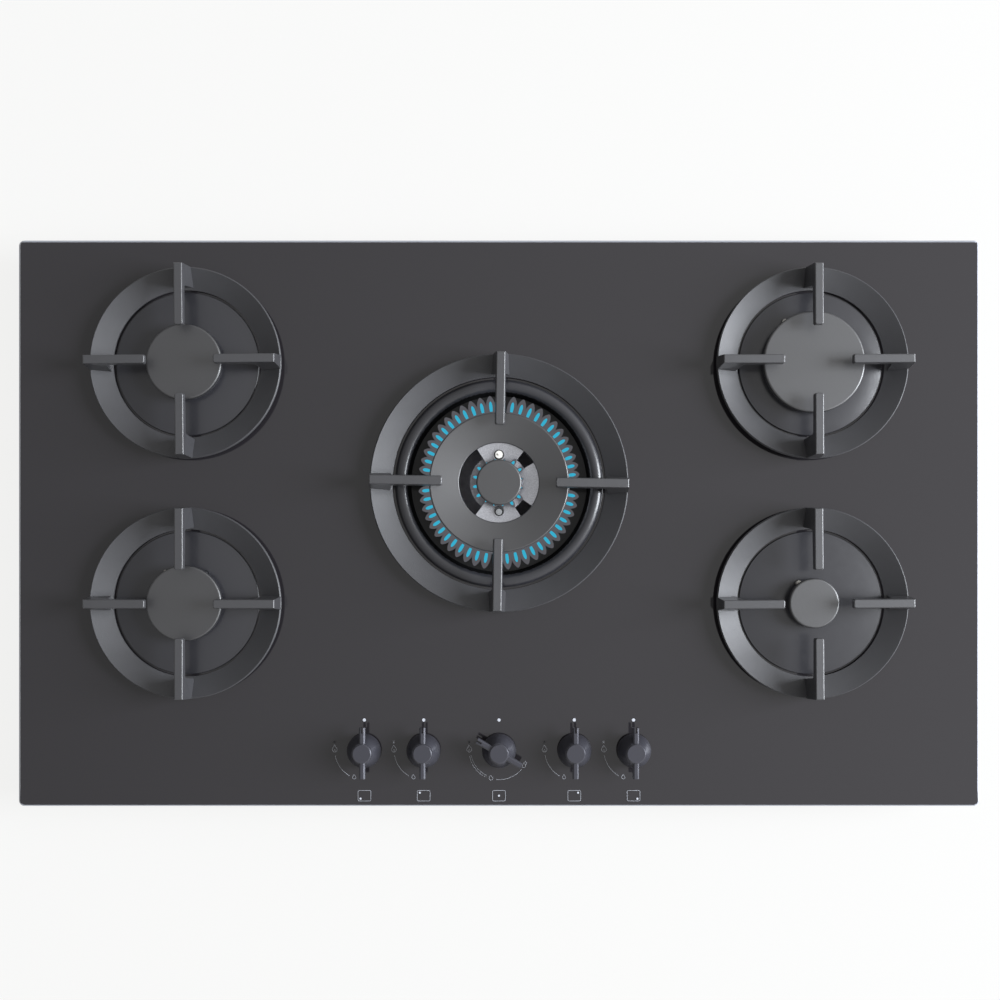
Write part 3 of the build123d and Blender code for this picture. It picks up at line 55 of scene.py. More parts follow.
MM = 0.001
KNOB_NUMBERS = range(1, 6)
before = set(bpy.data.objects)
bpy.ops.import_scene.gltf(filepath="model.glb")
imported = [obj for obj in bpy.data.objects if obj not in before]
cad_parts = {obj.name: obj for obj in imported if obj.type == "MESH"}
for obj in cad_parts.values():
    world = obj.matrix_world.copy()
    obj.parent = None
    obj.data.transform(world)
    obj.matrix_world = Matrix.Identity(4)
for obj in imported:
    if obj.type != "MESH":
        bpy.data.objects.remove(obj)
CAD_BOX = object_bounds()
GLASS_LOW, GLASS_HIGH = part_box("glass_top")
TOP = GLASS_HIGH.z
TAP_PLUGS = [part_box(f"tap_plug_{n}") for n in KNOB_NUMBERS]
KNOB_PLACES = [(low + high) / 2 for low, high in TAP_PLUGS]
HUB_LOW, HUB_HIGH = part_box("cap_centre_hub")
HUB = (HUB_LOW + HUB_HIGH) / 2
BURNERS = ("lr", "lf", "rr", "rf")
SUPPORTS = (*BURNERS, "centre")

# where one piece changes its finish, the radii from the middle burner's axis
SHADED_WELL_R = 85.5 * MM  # floor of the drip bowl, darkened as painted shade
HEAT_AND_SHADE_R = 38.4 * MM  # inside the middle burner's outer ring, in the flames' heat and in shade, where painted light is added
HEAT_AND_SHADE_HIGH = 10.5 * MM  # above the glass
GAP_SHADE_Y = (25.9 * MM, -26.1 * MM)  # from the hub, of what stands in the lands, rear and front; round each, a ring of painted shade for the shadow of its gap
# inner and outer radius of the ring of painted shade round each gap
GAP_SHADE_INNER_R = 4.3 * MM
GAP_SHADE_OUTER_R = 5.3 * MM
FINGER_HALF_W = 5.5 * MM  # on each side of a pan support's axes

# studio
DARK_X = -0.6  # X of the direction in which the backdrop is darkest
PALE_X = 0.5  # and of the one in which it is palest
SOFTBOX_W = 1.5
SOFTBOX_L = 2.6
SOFTBOX_TINT = (0.9, 0.94, 1.0)
SOFTBOX_REACH = 3.6  # from the origin
SOFTBOX_LEAN = 62  # degrees from upright
SOFTBOX_Y = 0.1
FLOOR_HALF = 4.0
FLOOR_DROP = 0.3 * MM  # below the object
SENSOR_W = 36.0  # of the camera, in millimetres
SHIFT_X = 0.001  # shares of the picture's width
SHIFT_Y = 0.060

# printed marks, from the knob's middle unless another place is named; what has no MM is multiplied
# by it where it is used
OFF_DOT_Y = -184.3 * MM  # on the glass
OFF_DOT_R = 1.5 * MM
SPARK_AT = (-28.0, 7.6)
SPARK_R = 1.5 * MM
HIGH_FLAME_AT = (-27.8, 0.6)
INNER_FLAME_DROP = 1.4 * MM
SCALE_IN = 26.4  # radii of the two lines of the middle knob's scale
SCALE_OUT = 28.2
PICTURE_Y = -255.2 * MM  # on the glass
PICTURE_HALF = (6.0, 4.9)
PICTURE_CORNER = 1.3 * MM
PICTURE_DOT_X = 3.6
PICTURE_DOT_Y = 2.8
PICTURE_DOT_R = 0.95 * MM
PICTURE_DOTS = ((-1, -1), (-1, 1), (0, 0), (1, 1), (1, -1))  # which burner each knob serves
HEAVY = 1.2  # share of the line's width
INK_T = 0.04 * MM
SPOT_SIDES = 16
ARC_STEP = 3  # degrees
DROP_SIDES = 28
DROP_LEAN = 0.16
DROP_POINT = 1.7  # the drop's upper half, as a share of its lower half
DROP_SPAN = 2.7  # both together

# flames of the middle burner
OUTER_PORTS = 12  # in each quarter
OUTER_PITCH = 6.72  # degrees
OUTER_TURN = 1.9  # degrees that the crown stands turned
INNER_PORTS = 16
INNER_TURN = 9.5  # degrees to the first
LANDS = ((60, 123), (-35, 30), (-126, -62))  # degrees, from one end of a bright land to the other
OVER_LAND_SHARE = 0.45  # length of an inner flame there
LONGER = 0.42  # growth of the outer flames towards front and rear
GROWN_SHIFT = 3.0  # millimetres further out, for a flame of twice the length
RISE = 0.12  # upward share of a flame's direction
FLAME_SIDES = 10
# foot's radius and height in millimetres, length as a share of the setting, width and thickness
FLAME_RINGS = {
    "outer_flames_core": (65.0, 14.2, 1.0, 3.2, 2.4),
    "outer_flames_veil": (63.4, 12.6, 1.75, 9.4, 3.4),
    "inner_flames_core": (19.8, 16.6, 0.7, 2.6, 2.0),
    "inner_flames_veil": (19.6, 15.4, 1.15, 5.0, 2.6),
}
# share of a flame's length, and its width there as a share of its widest
CORE_SHAPE = ((0.0, 0.8), (0.3, 1.0), (0.6, 0.98), (0.8, 0.8), (0.95, 0.42))
VEIL_SHAPE = ((0.0, 1.0), (0.35, 1.0), (0.6, 0.86), (0.8, 0.62), (0.95, 0.28))


# ---------------------------------------------------------------- helpers
def linear(colour):
    """An sRGB hex value as a linear colour."""
    values = [int(colour[i : i + 2], 16) / 255 for i in (1, 3, 5)]
    return (*(v / 12.92 if v <= 0.04045 else ((v + 0.055) / 1.055) ** 2.4 for v in values), 1.0)


def add(tree, kind, inputs=None, **settings):
    """Adds one node. An input is a value, or the socket that it is linked from."""
    made = tree.nodes.new(kind)
    for name, value in settings.items():
        setattr(made, name, value)
    for key, value in (inputs or {}).items():
        if isinstance(value, bpy.types.NodeSocket):
            tree.links.new(value, made.inputs[key])
        else:
            made.inputs[key].default_value = value
    return made


def start_material(name, **values):
    """A new material with a Principled shader and its plain values, which a texture may replace."""
    made = bpy.data.materials.new(name)
    made.use_nodes = True
    tree = made.node_tree
    tree.nodes.clear()
    shader = add(tree, "ShaderNodeBsdfPrincipled")
    for key, value in values.items():
        shader.inputs[key.replace("_", " ").title().replace("Ior", "IOR")].default_value = value
    add(tree, "ShaderNodeOutputMaterial", {"Surface": shader.outputs[0]})
    return made, tree, shader


def object_place(tree):
    """The point's place in the piece's own space."""
    return add(tree, "ShaderNodeTexCoord").outputs["Object"]


def grain(tree, size, detail, **more):
    """Noise with patches of about one size."""
    values = {"Vector": object_place(tree), "Scale": 1 / size, "Detail": detail, **more}
    return add(tree, "ShaderNodeTexNoise", values).outputs[0]


def blend(tree, factor, first, second):
    """A colour that goes from first, where factor is zero, to second, where it is one."""
    values = {"Factor": factor, "A": first, "B": second}
    return add(tree, "ShaderNodeMix", values, data_type="RGBA").outputs["Result"]


def colour_by(tree, shader, factor, first, second):
    """Links a colour that changes with factor."""
    tree.links.new(blend(tree, factor, first, second), shader.inputs["Base Color"])


def roughen_by(tree, shader, factor, low, high):
    """Links a roughness that changes with factor."""
    rough = add(tree, "ShaderNodeMapRange", {"Value": factor, "To Min": low, "To Max": high})
    tree.links.new(rough.outputs[0], shader.inputs["Roughness"])


def emboss_by(tree, shader, height, strength, distance):
    """Links a fine relief."""
    values = {"Height": height, "Strength": strength, "Distance": distance}
    tree.links.new(add(tree, "ShaderNodeBump", values).outputs[0], shader.inputs["Normal"])


def scaled(tone, share):
    """A colour made darker or lighter."""
    return [c * share for c in tone[:3]] + [1.0]


def dress(name, *materials, smooth=32.0, pick=None):
    """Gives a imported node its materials. pick says which one a face takes."""
    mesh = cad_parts[name].data
    mesh.materials.clear()
    for one in materials:
        mesh.materials.append(one)
    for face in mesh.polygons:
        face.material_index = pick(face) if pick else 0
    mesh.shade_smooth()
    mesh.set_sharp_from_angle(angle=math.radians(smooth))


def new_piece(name, make, material, body):
    """A piece from a bmesh function, riding on a body."""
    mesh = bpy.data.meshes.new(name)
    grown = bmesh.new()
    make(grown)
    bmesh.ops.recalc_face_normals(grown, faces=grown.faces)
    grown.to_mesh(mesh)
    grown.free()
    mesh.materials.append(material)
    piece = bpy.data.objects.new(name, mesh)
    bpy.context.scene.collection.objects.link(piece)
    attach(piece, body)
    return piece


def polar(radius, degrees):
    turn = math.radians(degrees)
    return Vector((radius * math.cos(turn), radius * math.sin(turn)))


# ---------------------------------------------------------------- finishes
def toughened_black_glass(tint):
    """Float glass, toughened, printed black underneath: a deep gloss with a faint grey veil."""
    made, tree, shader = start_material(
        "toughened_black_glass", base_color=tint, roughness=0.03, ior=1.52
    )
    # wiped surface: the gloss changes a little over about 60 mm
    wiped = grain(tree, 0.06, 3.0)
    roughen_by(tree, shader, wiped, 0.02, 0.05)
    return made


def ground_glass_edge():
    """The same glass with its edge ground and half polished: pale, soft and greenish grey."""
    made, tree, shader = start_material(
        "ground_glass_edge", base_color=linear("#9a9da6"), roughness=0.38, ior=1.52
    )
    # grinding lines, 0.4 mm apart
    lines = grain(tree, 0.0004, 2.0)
    emboss_by(tree, shader, lines, 0.2, 0.00005)
    return made


def enamelled_cast_iron(name, tone, glaze):
    """Sand-cast iron under a matt black enamel: a sandy grain, with more or less glaze over it."""
    made, tree, shader = start_material(
        name, roughness=0.55, ior=1.6, coat_weight=glaze, coat_roughness=0.25
    )
    # moulding sand of 0.5 mm, drawn at 0.9 mm so that it shows
    sand = grain(tree, 0.0009, 5.0, Roughness=0.65)
    # slow change of the enamel's thickness, 25 mm across
    cloud = grain(tree, 0.025, 3.0)
    colour_by(tree, shader, cloud, scaled(tone, 0.82), scaled(tone, 1.18))
    roughen_by(tree, shader, sand, 0.48, 0.62)
    emboss_by(tree, shader, sand, 0.6, 0.00025)
    return made


def satin_cap_enamel(tone):
    """Pressed steel under a satin dark enamel: smoother than the iron, with a fine orange peel."""
    made, tree, shader = start_material(
        "satin_cap_enamel", roughness=0.47, ior=1.9, coat_weight=0.25, coat_roughness=0.2
    )
    # orange peel of 1.2 mm, and clouds of 20 mm
    peel = grain(tree, 0.0012, 4.0, Roughness=0.6)
    cloud = grain(tree, 0.02, 2.0)
    colour_by(tree, shader, cloud, scaled(tone, 0.9), scaled(tone, 1.1))
    emboss_by(tree, shader, peel, 0.4, 0.00015)
    return made


def vitreous_enamel(name, tone, roughness, ior):
    """Pressed steel under a black vitreous enamel, fired smooth, with a slow ripple."""
    made, tree, shader = start_material(
        name,
        base_color=linear(tone),
        roughness=roughness,
        ior=ior,
        coat_weight=0.25,
        coat_roughness=0.12,
    )
    # ripple of the fired glaze, 7 mm
    ripple = grain(tree, 0.007, 2.0)
    emboss_by(tree, shader, ripple, 0.15, 0.0003)
    roughen_by(tree, shader, ripple, roughness - 0.05, roughness + 0.05)
    return made


def die_cast_aluminium(name="die_cast_aluminium", shaded_gaps=()):
    """Die-cast aluminium, tumbled: pale grey with a grain, and a ring of painted shade round each
    given place, for the shadow in the gap there.
    """
    made, tree, shader = start_material(name, metallic=1.0, roughness=0.4)
    # die skin, 1.2 mm patches
    skin = grain(tree, 0.0012, 4.0, Roughness=0.7)
    colour = blend(tree, skin, linear("#6f7076"), linear("#d2d3d8"))
    if shaded_gaps:
        point = add(tree, "ShaderNodeSeparateXYZ", {0: object_place(tree)})
        flat = add(tree, "ShaderNodeCombineXYZ", {0: point.outputs[0], 1: point.outputs[1]})
    # painted shade: a dark ring round each given place, standing for the shadow in the gap round an
    # electrode or probe
    for x, y in shaded_gaps:
        ends = {0: flat.outputs[0], 1: (x, y, 0.0)}
        away = add(tree, "ShaderNodeVectorMath", ends, operation="DISTANCE")
        gap_shade = add(
            tree,
            "ShaderNodeMapRange",
            {
                "Value": away.outputs["Value"],
                "From Min": GAP_SHADE_INNER_R,
                "From Max": GAP_SHADE_OUTER_R,
            },
        )
        colour = blend(tree, gap_shade.outputs[0], linear("#4a4a4c"), colour)
    tree.links.new(colour, shader.inputs["Base Color"])
    emboss_by(tree, shader, skin, 0.3, 0.00015)
    return made


def oxide_and_painted_light_aluminium():
    """The same casting low between the middle burner's rings: a dull heat oxide with little of the
    metal's shine, kept pale as painted light for a recess that lies in shade.
    """
    made, tree, shader = start_material("oxide_and_painted_light_aluminium", metallic=0.2, roughness=0.6)
    # patches of oxide, 4 mm
    oxide_and_light = grain(tree, 0.004, 3.0)
    # painted light: greys paler than the shaded recess would show, so that it does not go black
    colour_by(tree, shader, oxide_and_light, linear("#8a898d"), linear("#b8b7bc"))
    return made


def turned_brass():
    """Free-cutting brass, turned: warm yellow with fine tool marks."""
    made, tree, shader = start_material("turned_brass", metallic=1.0, roughness=0.3)
    # tool marks up the axis, 1.9 mm apart, as the texture turns 20 radians for each unit of scale
    feed = add(
        tree,
        "ShaderNodeTexWave",
        {"Vector": object_place(tree), "Scale": 1 / 0.0003 / 20, "Distortion": 0.5},
        bands_direction="Z",
    )
    colour_by(tree, shader, feed.outputs["Fac"], linear("#a5874a"), linear("#c9a961"))
    return made


def galvanised_sheet():
    """Hot-dip galvanised steel sheet: dull grey with a spangle of crystals."""
    made, tree, shader = start_material("galvanised_sheet", metallic=1.0, roughness=0.42)
    # spangle of 7 mm
    spangle = add(
        tree,
        "ShaderNodeTexVoronoi",
        {"Vector": object_place(tree), "Scale": 1 / 0.007, "Randomness": 1.0},
        distance="EUCLIDEAN",
    )
    tone = add(tree, "ShaderNodeSeparateColor", {"Color": spangle.outputs["Color"]})
    colour_by(tree, shader, tone.outputs[0], linear("#8c9095"), linear("#a3a7ac"))
    roughen_by(tree, shader, tone.outputs[1], 0.34, 0.5)
    return made


def zinc_plated_steel():
    """Zinc-plated steel: bright grey, drawn or turned."""
    made, tree, shader = start_material("zinc_plated_steel", metallic=1.0, roughness=0.32)
    # plating stain, 10 mm
    stain = grain(tree, 0.01, 3.0)
    colour_by(tree, shader, stain, linear("#8f9296"), linear("#bcbfc2"))
    return made


def glazed_alumina():
    """Alumina ceramic with a clear glaze: warm white and shiny."""
    made, tree, shader = start_material(
        "glazed_alumina", base_color=linear("#e9e7e0"), roughness=0.18, ior=1.6
    )
    # faint fired specks, 0.8 mm
    speck = grain(tree, 0.0008, 2.0)
    colour_by(tree, shader, speck, linear("#dcd9d0"), linear("#f2f0ea"))
    return made


def moulded_rubber(name, tone):
    """Moulded rubber or foam: very dark and dull, with a fine skin."""
    made, tree, shader = start_material(name, base_color=tone, roughness=0.75, ior=1.5)
    # skin of the mould, 0.6 mm
    skin = grain(tree, 0.0006, 3.0)
    emboss_by(tree, shader, skin, 0.4, 0.0001)
    return made


def moulded_polyamide():
    """Glass-filled polyamide, moulded: black with the mould's fine spark texture."""
    made, tree, shader = start_material(
        "moulded_polyamide", base_color=linear("#232327"), roughness=0.5, ior=1.53
    )
    # spark texture, 0.3 mm
    spark = grain(tree, 0.0003, 2.0)
    emboss_by(tree, shader, spark, 0.3, 0.00005)
    return made


def satin_knob_lacquer(tone):
    """Die-cast knob under a dark satin metallic lacquer, grey, that catches light on its edges."""
    made, tree, shader = start_material(
        "satin_knob_lacquer", base_color=tone, metallic=0.35, roughness=0.34
    )
    # metal flake of 0.25 mm, drawn at 0.5 mm so that it shows
    flake = grain(tree, 0.0005, 2.0)
    roughen_by(tree, shader, flake, 0.28, 0.42)
    return made


def ceramic_ink(tone):
    """Ceramic screen-printing ink fired into the glass: pale grey, slightly satin."""
    made, tree, shader = start_material("ceramic_ink", base_color=tone, roughness=0.45)
    # screen mesh of 0.4 mm
    screen = grain(tree, 0.0004, 1.0)
    colour_by(tree, shader, screen, scaled(tone, 0.85), tone)
    return made


def gas_flame(name, tone, clear, soft):
    """Burning gas: it gives light, lets what is behind it show and may fade at its edges."""
    made = bpy.data.materials.new(name)
    made.use_nodes = True
    tree = made.node_tree
    tree.nodes.clear()
    glow = add(tree, "ShaderNodeEmission", {"Color": tone, "Strength": 1.0})
    gap = add(tree, "ShaderNodeBsdfTransparent")
    edge = add(tree, "ShaderNodeLayerWeight", {"Blend": 0.5})
    fade = add(
        tree,
        "ShaderNodeMapRange",
        {
            "Value": edge.outputs["Facing"],
            "From Min": 0.15,
            "From Max": 0.85,
            "To Min": clear,
            "To Max": clear + soft,
        },
    )
    parts = {0: fade.outputs[0], 1: glow.outputs[0], 2: gap.outputs[0]}
    both = add(tree, "ShaderNodeMixShader", parts)
    add(tree, "ShaderNodeOutputMaterial", {"Surface": both.outputs[0]})
    return made


# ---------------------------------------------------------------- settings
def colour_setting(name, description, tone):
    return FloatVectorProperty(
        name=name, description=description, default=linear(tone), size=4, subtype="COLOR"
    )


def length_setting(name, description, value):
    return FloatProperty(name=name, description=description, default=value, unit="LENGTH")


class CooktopStageSettings(bpy.types.PropertyGroup):
    camera_height: length_setting("Camera Height", "Camera above the glass", 1.29)
    camera_y: length_setting("Camera Y", "Camera's place from front to rear", -0.0345)
    lens: FloatProperty(name="Lens", description="Focal length", default=49.6, unit="CAMERA")
    side_light: FloatProperty(
        name="Side Light",
        description="Power of the softbox on the right",
        default=300.0,
        unit="POWER",
    )
    backdrop_left: FloatProperty(
        name="Backdrop Left",
        description="Brightness of the backdrop on the left",
        default=0.42,
        min=0.0,
    )
    backdrop_right: FloatProperty(
        name="Backdrop Right",
        description="Brightness of the backdrop on the right",
        default=1.18,
        min=0.0,
    )
    fill: FloatProperty(
        name="Fill",
        description="Share of the backdrop's brightness that lights the object",
        default=0.5,
        min=0.0,
    )
    floor_share: FloatProperty(
        name="Floor Share",
        description="Share of the floor that ignores shadows",
        default=0.9,
        min=0.0,
        max=1.0,
    )


class CooktopGlassSettings(bpy.types.PropertyGroup):
    tint: colour_setting("Glass Colour", "Colour of the print under the glass", "#29272a")
    edge: length_setting("Ground Edge", "Width of the pale edge round the glass", 2.1 * MM)
    ink: colour_setting("Ink", "Colour of the printed marks", "#cfd2da")
    line: length_setting("Line Width", "Width of the printed lines", 0.2 * MM)


class CooktopMetalSettings(bpy.types.PropertyGroup):
    iron: colour_setting("Iron", "Colour of the pan supports", "#313134")
    cap: colour_setting("Caps", "Colour of the burner caps", "#131317")
    knob: colour_setting("Knobs", "Colour of the knobs", "#414148")


class CooktopFlameSettings(bpy.types.PropertyGroup):
    lit: BoolProperty(name="Lit", description="Show the middle burner alight", default=True)
    blue: colour_setting("Flame", "Colour of the flame", "#36b0d0")
    veil: colour_setting("Glow", "Colour of the glow round the flame", "#5c5c61")
    length: length_setting("Length", "Length of the outer flames", 6.6 * MM)


# ---------------------------------------------------------------- studio
def seen_directly(tree):
    """One where the camera, a reflection or glass looks, and zero for the light that is cast."""
    path = add(tree, "ShaderNodeLightPath")
    mirrored = add(
        tree,
        "ShaderNodeMath",
        {0: path.outputs["Is Camera Ray"], 1: path.outputs["Is Glossy Ray"]},
        operation="MAXIMUM",
    )
    through = add(
        tree,
        "ShaderNodeMath",
        {0: mirrored.outputs[0], 1: path.outputs["Is Transmission Ray"]},
        operation="MAXIMUM",
    )
    return through.outputs[0]


def choose(tree, factor, first, second):
    """A shader mixed of two: first where factor is zero, second where it is one."""
    parts = {0: factor, 1: first.outputs[0], 2: second.outputs[0]}
    return add(tree, "ShaderNodeMixShader", parts)


def make_backdrop(scene, values):
    """White for the camera, and for light and reflections a backdrop that is darker on the left."""
    world = bpy.data.worlds.new("studio")
    scene.world = world
    world.use_nodes = True
    tree = world.node_tree
    tree.nodes.clear()

    def background(strength):
        colour = (1, 1, 1, 1)
        return add(tree, "ShaderNodeBackground", {"Color": colour, "Strength": strength})

    place = add(tree, "ShaderNodeTexCoord")
    way = add(tree, "ShaderNodeSeparateXYZ", {0: place.outputs["Generated"]})
    pale = add(
        tree,
        "ShaderNodeMapRange",
        {
            "Value": way.outputs["X"],
            "From Min": DARK_X,
            "From Max": PALE_X,
            "To Min": values.backdrop_left,
            "To Max": values.backdrop_right,
        },
    )
    shares = {0: pale.outputs[0], 1: values.fill}
    fill = add(tree, "ShaderNodeMath", shares, operation="MULTIPLY")
    light = background(fill.outputs[0])
    mirrored = background(pale.outputs[0])
    white = background(1.0)
    path = add(tree, "ShaderNodeLightPath")
    indirect = choose(tree, seen_directly(tree), light, mirrored)
    both = choose(tree, path.outputs["Is Camera Ray"], indirect, white)
    add(tree, "ShaderNodeOutputWorld", {"Surface": both.outputs[0]})


def make_softbox(scene, values):
    """A large lamp high on the right, turned to the middle of the glass."""
    lamp = bpy.data.lights.new("softbox_right", "AREA")
    lamp.shape = "RECTANGLE"
    lamp.size = SOFTBOX_W
    lamp.size_y = SOFTBOX_L
    lamp.energy = values.side_light
    lamp.color = SOFTBOX_TINT
    holder = bpy.data.objects.new("softbox_right", lamp)
    scene.collection.objects.link(holder)
    lean = math.radians(SOFTBOX_LEAN)
    holder.location = (
        SOFTBOX_REACH * math.sin(lean),
        SOFTBOX_Y,
        SOFTBOX_REACH * math.cos(lean),
    )
    aim = Vector((0, 0, TOP)) - holder.location
    holder.rotation_euler = aim.to_track_quat("-Z", "Y").to_euler()


def make_floor(scene, values):
    """A pale floor with a faint shadow. It is clear from below, so that the tray can be seen."""
    made, tree, shader = start_material(
        "studio_floor", base_color=linear("#f4f4f3"), roughness=0.8
    )
    white = add(tree, "ShaderNodeEmission", {"Color": linear("#f8f8f7"), "Strength": 1.0})
    shares = {0: seen_directly(tree), 1: values.floor_share}
    share = add(tree, "ShaderNodeMath", shares, operation="MULTIPLY")
    both = choose(tree, share.outputs[0], shader, white)
    side = add(tree, "ShaderNodeNewGeometry")
    gap = add(tree, "ShaderNodeBsdfTransparent")
    one_way = choose(tree, side.outputs["Backfacing"], both, gap)
    output = next(n for n in tree.nodes if n.type == "OUTPUT_MATERIAL")
    tree.links.new(one_way.outputs[0], output.inputs["Surface"])
    mesh = bpy.data.meshes.new("studio_floor")
    corners = [(x * FLOOR_HALF, y * FLOOR_HALF, 0) for x, y in ((-1, -1), (1, -1), (1, 1), (-1, 1))]
    mesh.from_pydata(corners, [], [(0, 1, 2, 3)])
    mesh.materials.append(made)
    floor = bpy.data.objects.new("studio_floor", mesh)
    floor.location.z = CAD_BOX[0].z - FLOOR_DROP
    scene.collection.objects.link(floor)


def make_camera(scene, values):
    """A camera that looks straight down from above the glass."""
    view = bpy.data.cameras.new("camera")
    view.lens = values.lens
    view.sensor_width = SENSOR_W
    view.shift_x = SHIFT_X
    view.shift_y = SHIFT_Y
    camera = bpy.data.objects.new("camera", view)
    camera.location = (0, values.camera_y, TOP + values.camera_height)
    scene.collection.objects.link(camera)
    scene.camera = camera


# ---------------------------------------------------------------- operators
class COOKTOP_OT_stage(bpy.types.Operator):
    """Makes the pale floor, the studio light and the camera above the cooktop"""

    bl_idname = "cooktop.stage"
    bl_label = "Studio and Camera"

    def execute(self, context):
        scene = context.scene
        scene.view_settings.view_transform = "Standard"
        for make in (make_backdrop, make_softbox, make_floor, make_camera):
            make(scene, scene.cooktop_stage)
        return {"FINISHED"}


class COOKTOP_OT_glass(bpy.types.Operator):
    """Finishes the glass top with its ground edge, and the seal under it"""

    bl_idname = "cooktop.glass"
    bl_label = "Glass Top"

    def execute(self, context):
        values = context.scene.cooktop_glass

        def on_edge(face):
            inside = (
                abs(face.center.x) < GLASS_HIGH.x - values.edge
                and GLASS_LOW.y + values.edge < face.center.y < GLASS_HIGH.y - values.edge
            )
            return 0 if inside or face.normal.z < -0.5 else 1

        glass = toughened_black_glass(values.tint)
        dress("glass_top", glass, ground_glass_edge(), smooth=3.0, pick=on_edge)
        dress("worktop_seal", moulded_rubber("closed_cell_foam", linear("#26262a")))
        return {"FINISHED"}


class COOKTOP_OT_under_tray(bpy.types.Operator):
    """Finishes the tray, the clamps, the screws and the cord's gland"""

    bl_idname = "cooktop.under_tray"
    bl_label = "Tray and Fixings"

    def execute(self, context):
        sheet = galvanised_sheet()
        zinc = zinc_plated_steel()
        for name in ("tray", "tray_walls"):
            dress(name, sheet)
        for name in ("worktop_clamps", "screws"):
            dress(name, zinc)
        dress("cable_gland", moulded_polyamide())
        return {"FINISHED"}


def from_hub(face):
    """How far a face is from the middle burner's axis."""
    return math.hypot(face.center.x - HUB.x, face.center.y - HUB.y)


def in_the_shaded_well(face):
    """Second finish for the floor of the drip bowl: a near-black enamel as painted shade in the deep
    well.
    """
    return int(from_hub(face) < SHADED_WELL_R)


def in_the_heat_and_shade(face):
    """Second finish for what lies low between the middle burner's rings, in the flames' heat and in
    shade, where painted light is added.
    """
    return int(from_hub(face) < HEAT_AND_SHADE_R and face.center.z < TOP + HEAT_AND_SHADE_HIGH)


class COOKTOP_OT_burners(bpy.types.Operator):
    """Finishes the burner cups, crowns, caps, spill dishes, drip bowl and jets"""

    bl_idname = "cooktop.burners"
    bl_label = "Burners"

    def execute(self, context):
        cast = die_cast_aluminium()
        oxide_and_light = oxide_and_painted_light_aluminium()
        for name in BURNERS:
            dress(f"burner_cup_{name}", cast)
            dress(f"crown_{name}", cast)
        # the lands, with painted shade round the electrode and the probe for the shadow of their
        # gaps
        lands = die_cast_aluminium("gap_shaded_aluminium", [(HUB.x, HUB.y + y) for y in GAP_SHADE_Y])
        # the recess between the rings takes the pale oxide as painted light
        dress("burner_cup_centre", cast, oxide_and_light, pick=in_the_heat_and_shade)
        dress("crown_centre", lands, oxide_and_light, pick=in_the_heat_and_shade)
        satin = satin_cap_enamel(context.scene.cooktop_metal.cap)
        for name in (*BURNERS, "centre_ring", "centre_hub"):
            dress(f"cap_{name}", satin)
        gloss = vitreous_enamel("gloss_vitreous_enamel", "#2a2a2e", 0.32, 1.5)
        dress("spill_dishes", gloss, smooth=40.0)
        # painted shade: a near-black, weakly reflecting enamel for the drip bowl's floor, which lies
        # in shade
        well_shade = vitreous_enamel("well_shade_vitreous_enamel", "#0c0c0d", 0.5, 1.25)
        dress("drip_bowl", gloss, well_shade, pick=in_the_shaded_well, smooth=40.0)
        dress("jets", turned_brass())
        return {"FINISHED"}


class COOKTOP_OT_ignition(bpy.types.Operator):
    """Finishes the spark electrodes, the flame probes, the spark generator and the switches"""

    bl_idname = "cooktop.ignition"
    bl_label = "Ignition"

    def execute(self, context):
        steel = zinc_plated_steel()
        dress("spark_electrodes", glazed_alumina())
        dress("flame_probes", steel)
        plastic = moulded_polyamide()
        for name in ("spark_generator", "ignition_switches"):
            dress(name, plastic)
        return {"FINISHED"}


class COOKTOP_OT_gas_line(bpy.types.Operator):
    """Finishes the gas rail, pipes, inlet and taps"""

    bl_idname = "cooktop.gas_line"
    bl_label = "Gas Line"

    def execute(self, context):
        brass = turned_brass()
        for name in ("tap_bodies", "inlet_elbow", *(f"tap_plug_{n}" for n in KNOB_NUMBERS)):
            dress(name, brass)
        zinc = zinc_plated_steel()
        for name in ("gas_rail", *(f"spindle_{n}" for n in KNOB_NUMBERS)):
            dress(name, zinc)
        dress("gas_pipes", die_cast_aluminium())
        return {"FINISHED"}


class COOKTOP_OT_pan_supports(bpy.types.Operator):
    """Finishes the cast-iron pan supports and their rubber feet"""

    bl_idname = "cooktop.pan_supports"
    bl_label = "Pan Supports"

    def execute(self, context):
        tone = context.scene.cooktop_metal.iron
        iron = enamelled_cast_iron("enamelled_cast_iron", tone, 0.05)
        finger_iron = enamelled_cast_iron("glazed_cast_iron", tone, 0.6)
        rubber = moulded_rubber("moulded_rubber", linear("#1b1b1d"))
        for name in SUPPORTS:
            low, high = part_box(f"pan_support_{name}")
            middle = (low + high) / 2

            def on_a_finger(face, middle=middle):
                beside = min(abs(face.center.x - middle.x), abs(face.center.y - middle.y))
                return int(beside < FINGER_HALF_W)

            dress(f"pan_support_{name}", iron, finger_iron, pick=on_a_finger)
            dress(f"rubber_feet_{name}", rubber)
        return {"FINISHED"}


class COOKTOP_OT_knobs(bpy.types.Operator):
    """Finishes the knobs and the bushes that their spindles pass"""

    bl_idname = "cooktop.knobs"
    bl_label = "Knobs"

    def execute(self, context):
        lacquer = satin_knob_lacquer(context.scene.cooktop_metal.knob)
        for number in KNOB_NUMBERS:
            dress(f"knob_{number}", lacquer)
        dress("spindle_bushes", moulded_polyamide())
        return {"FINISHED"}


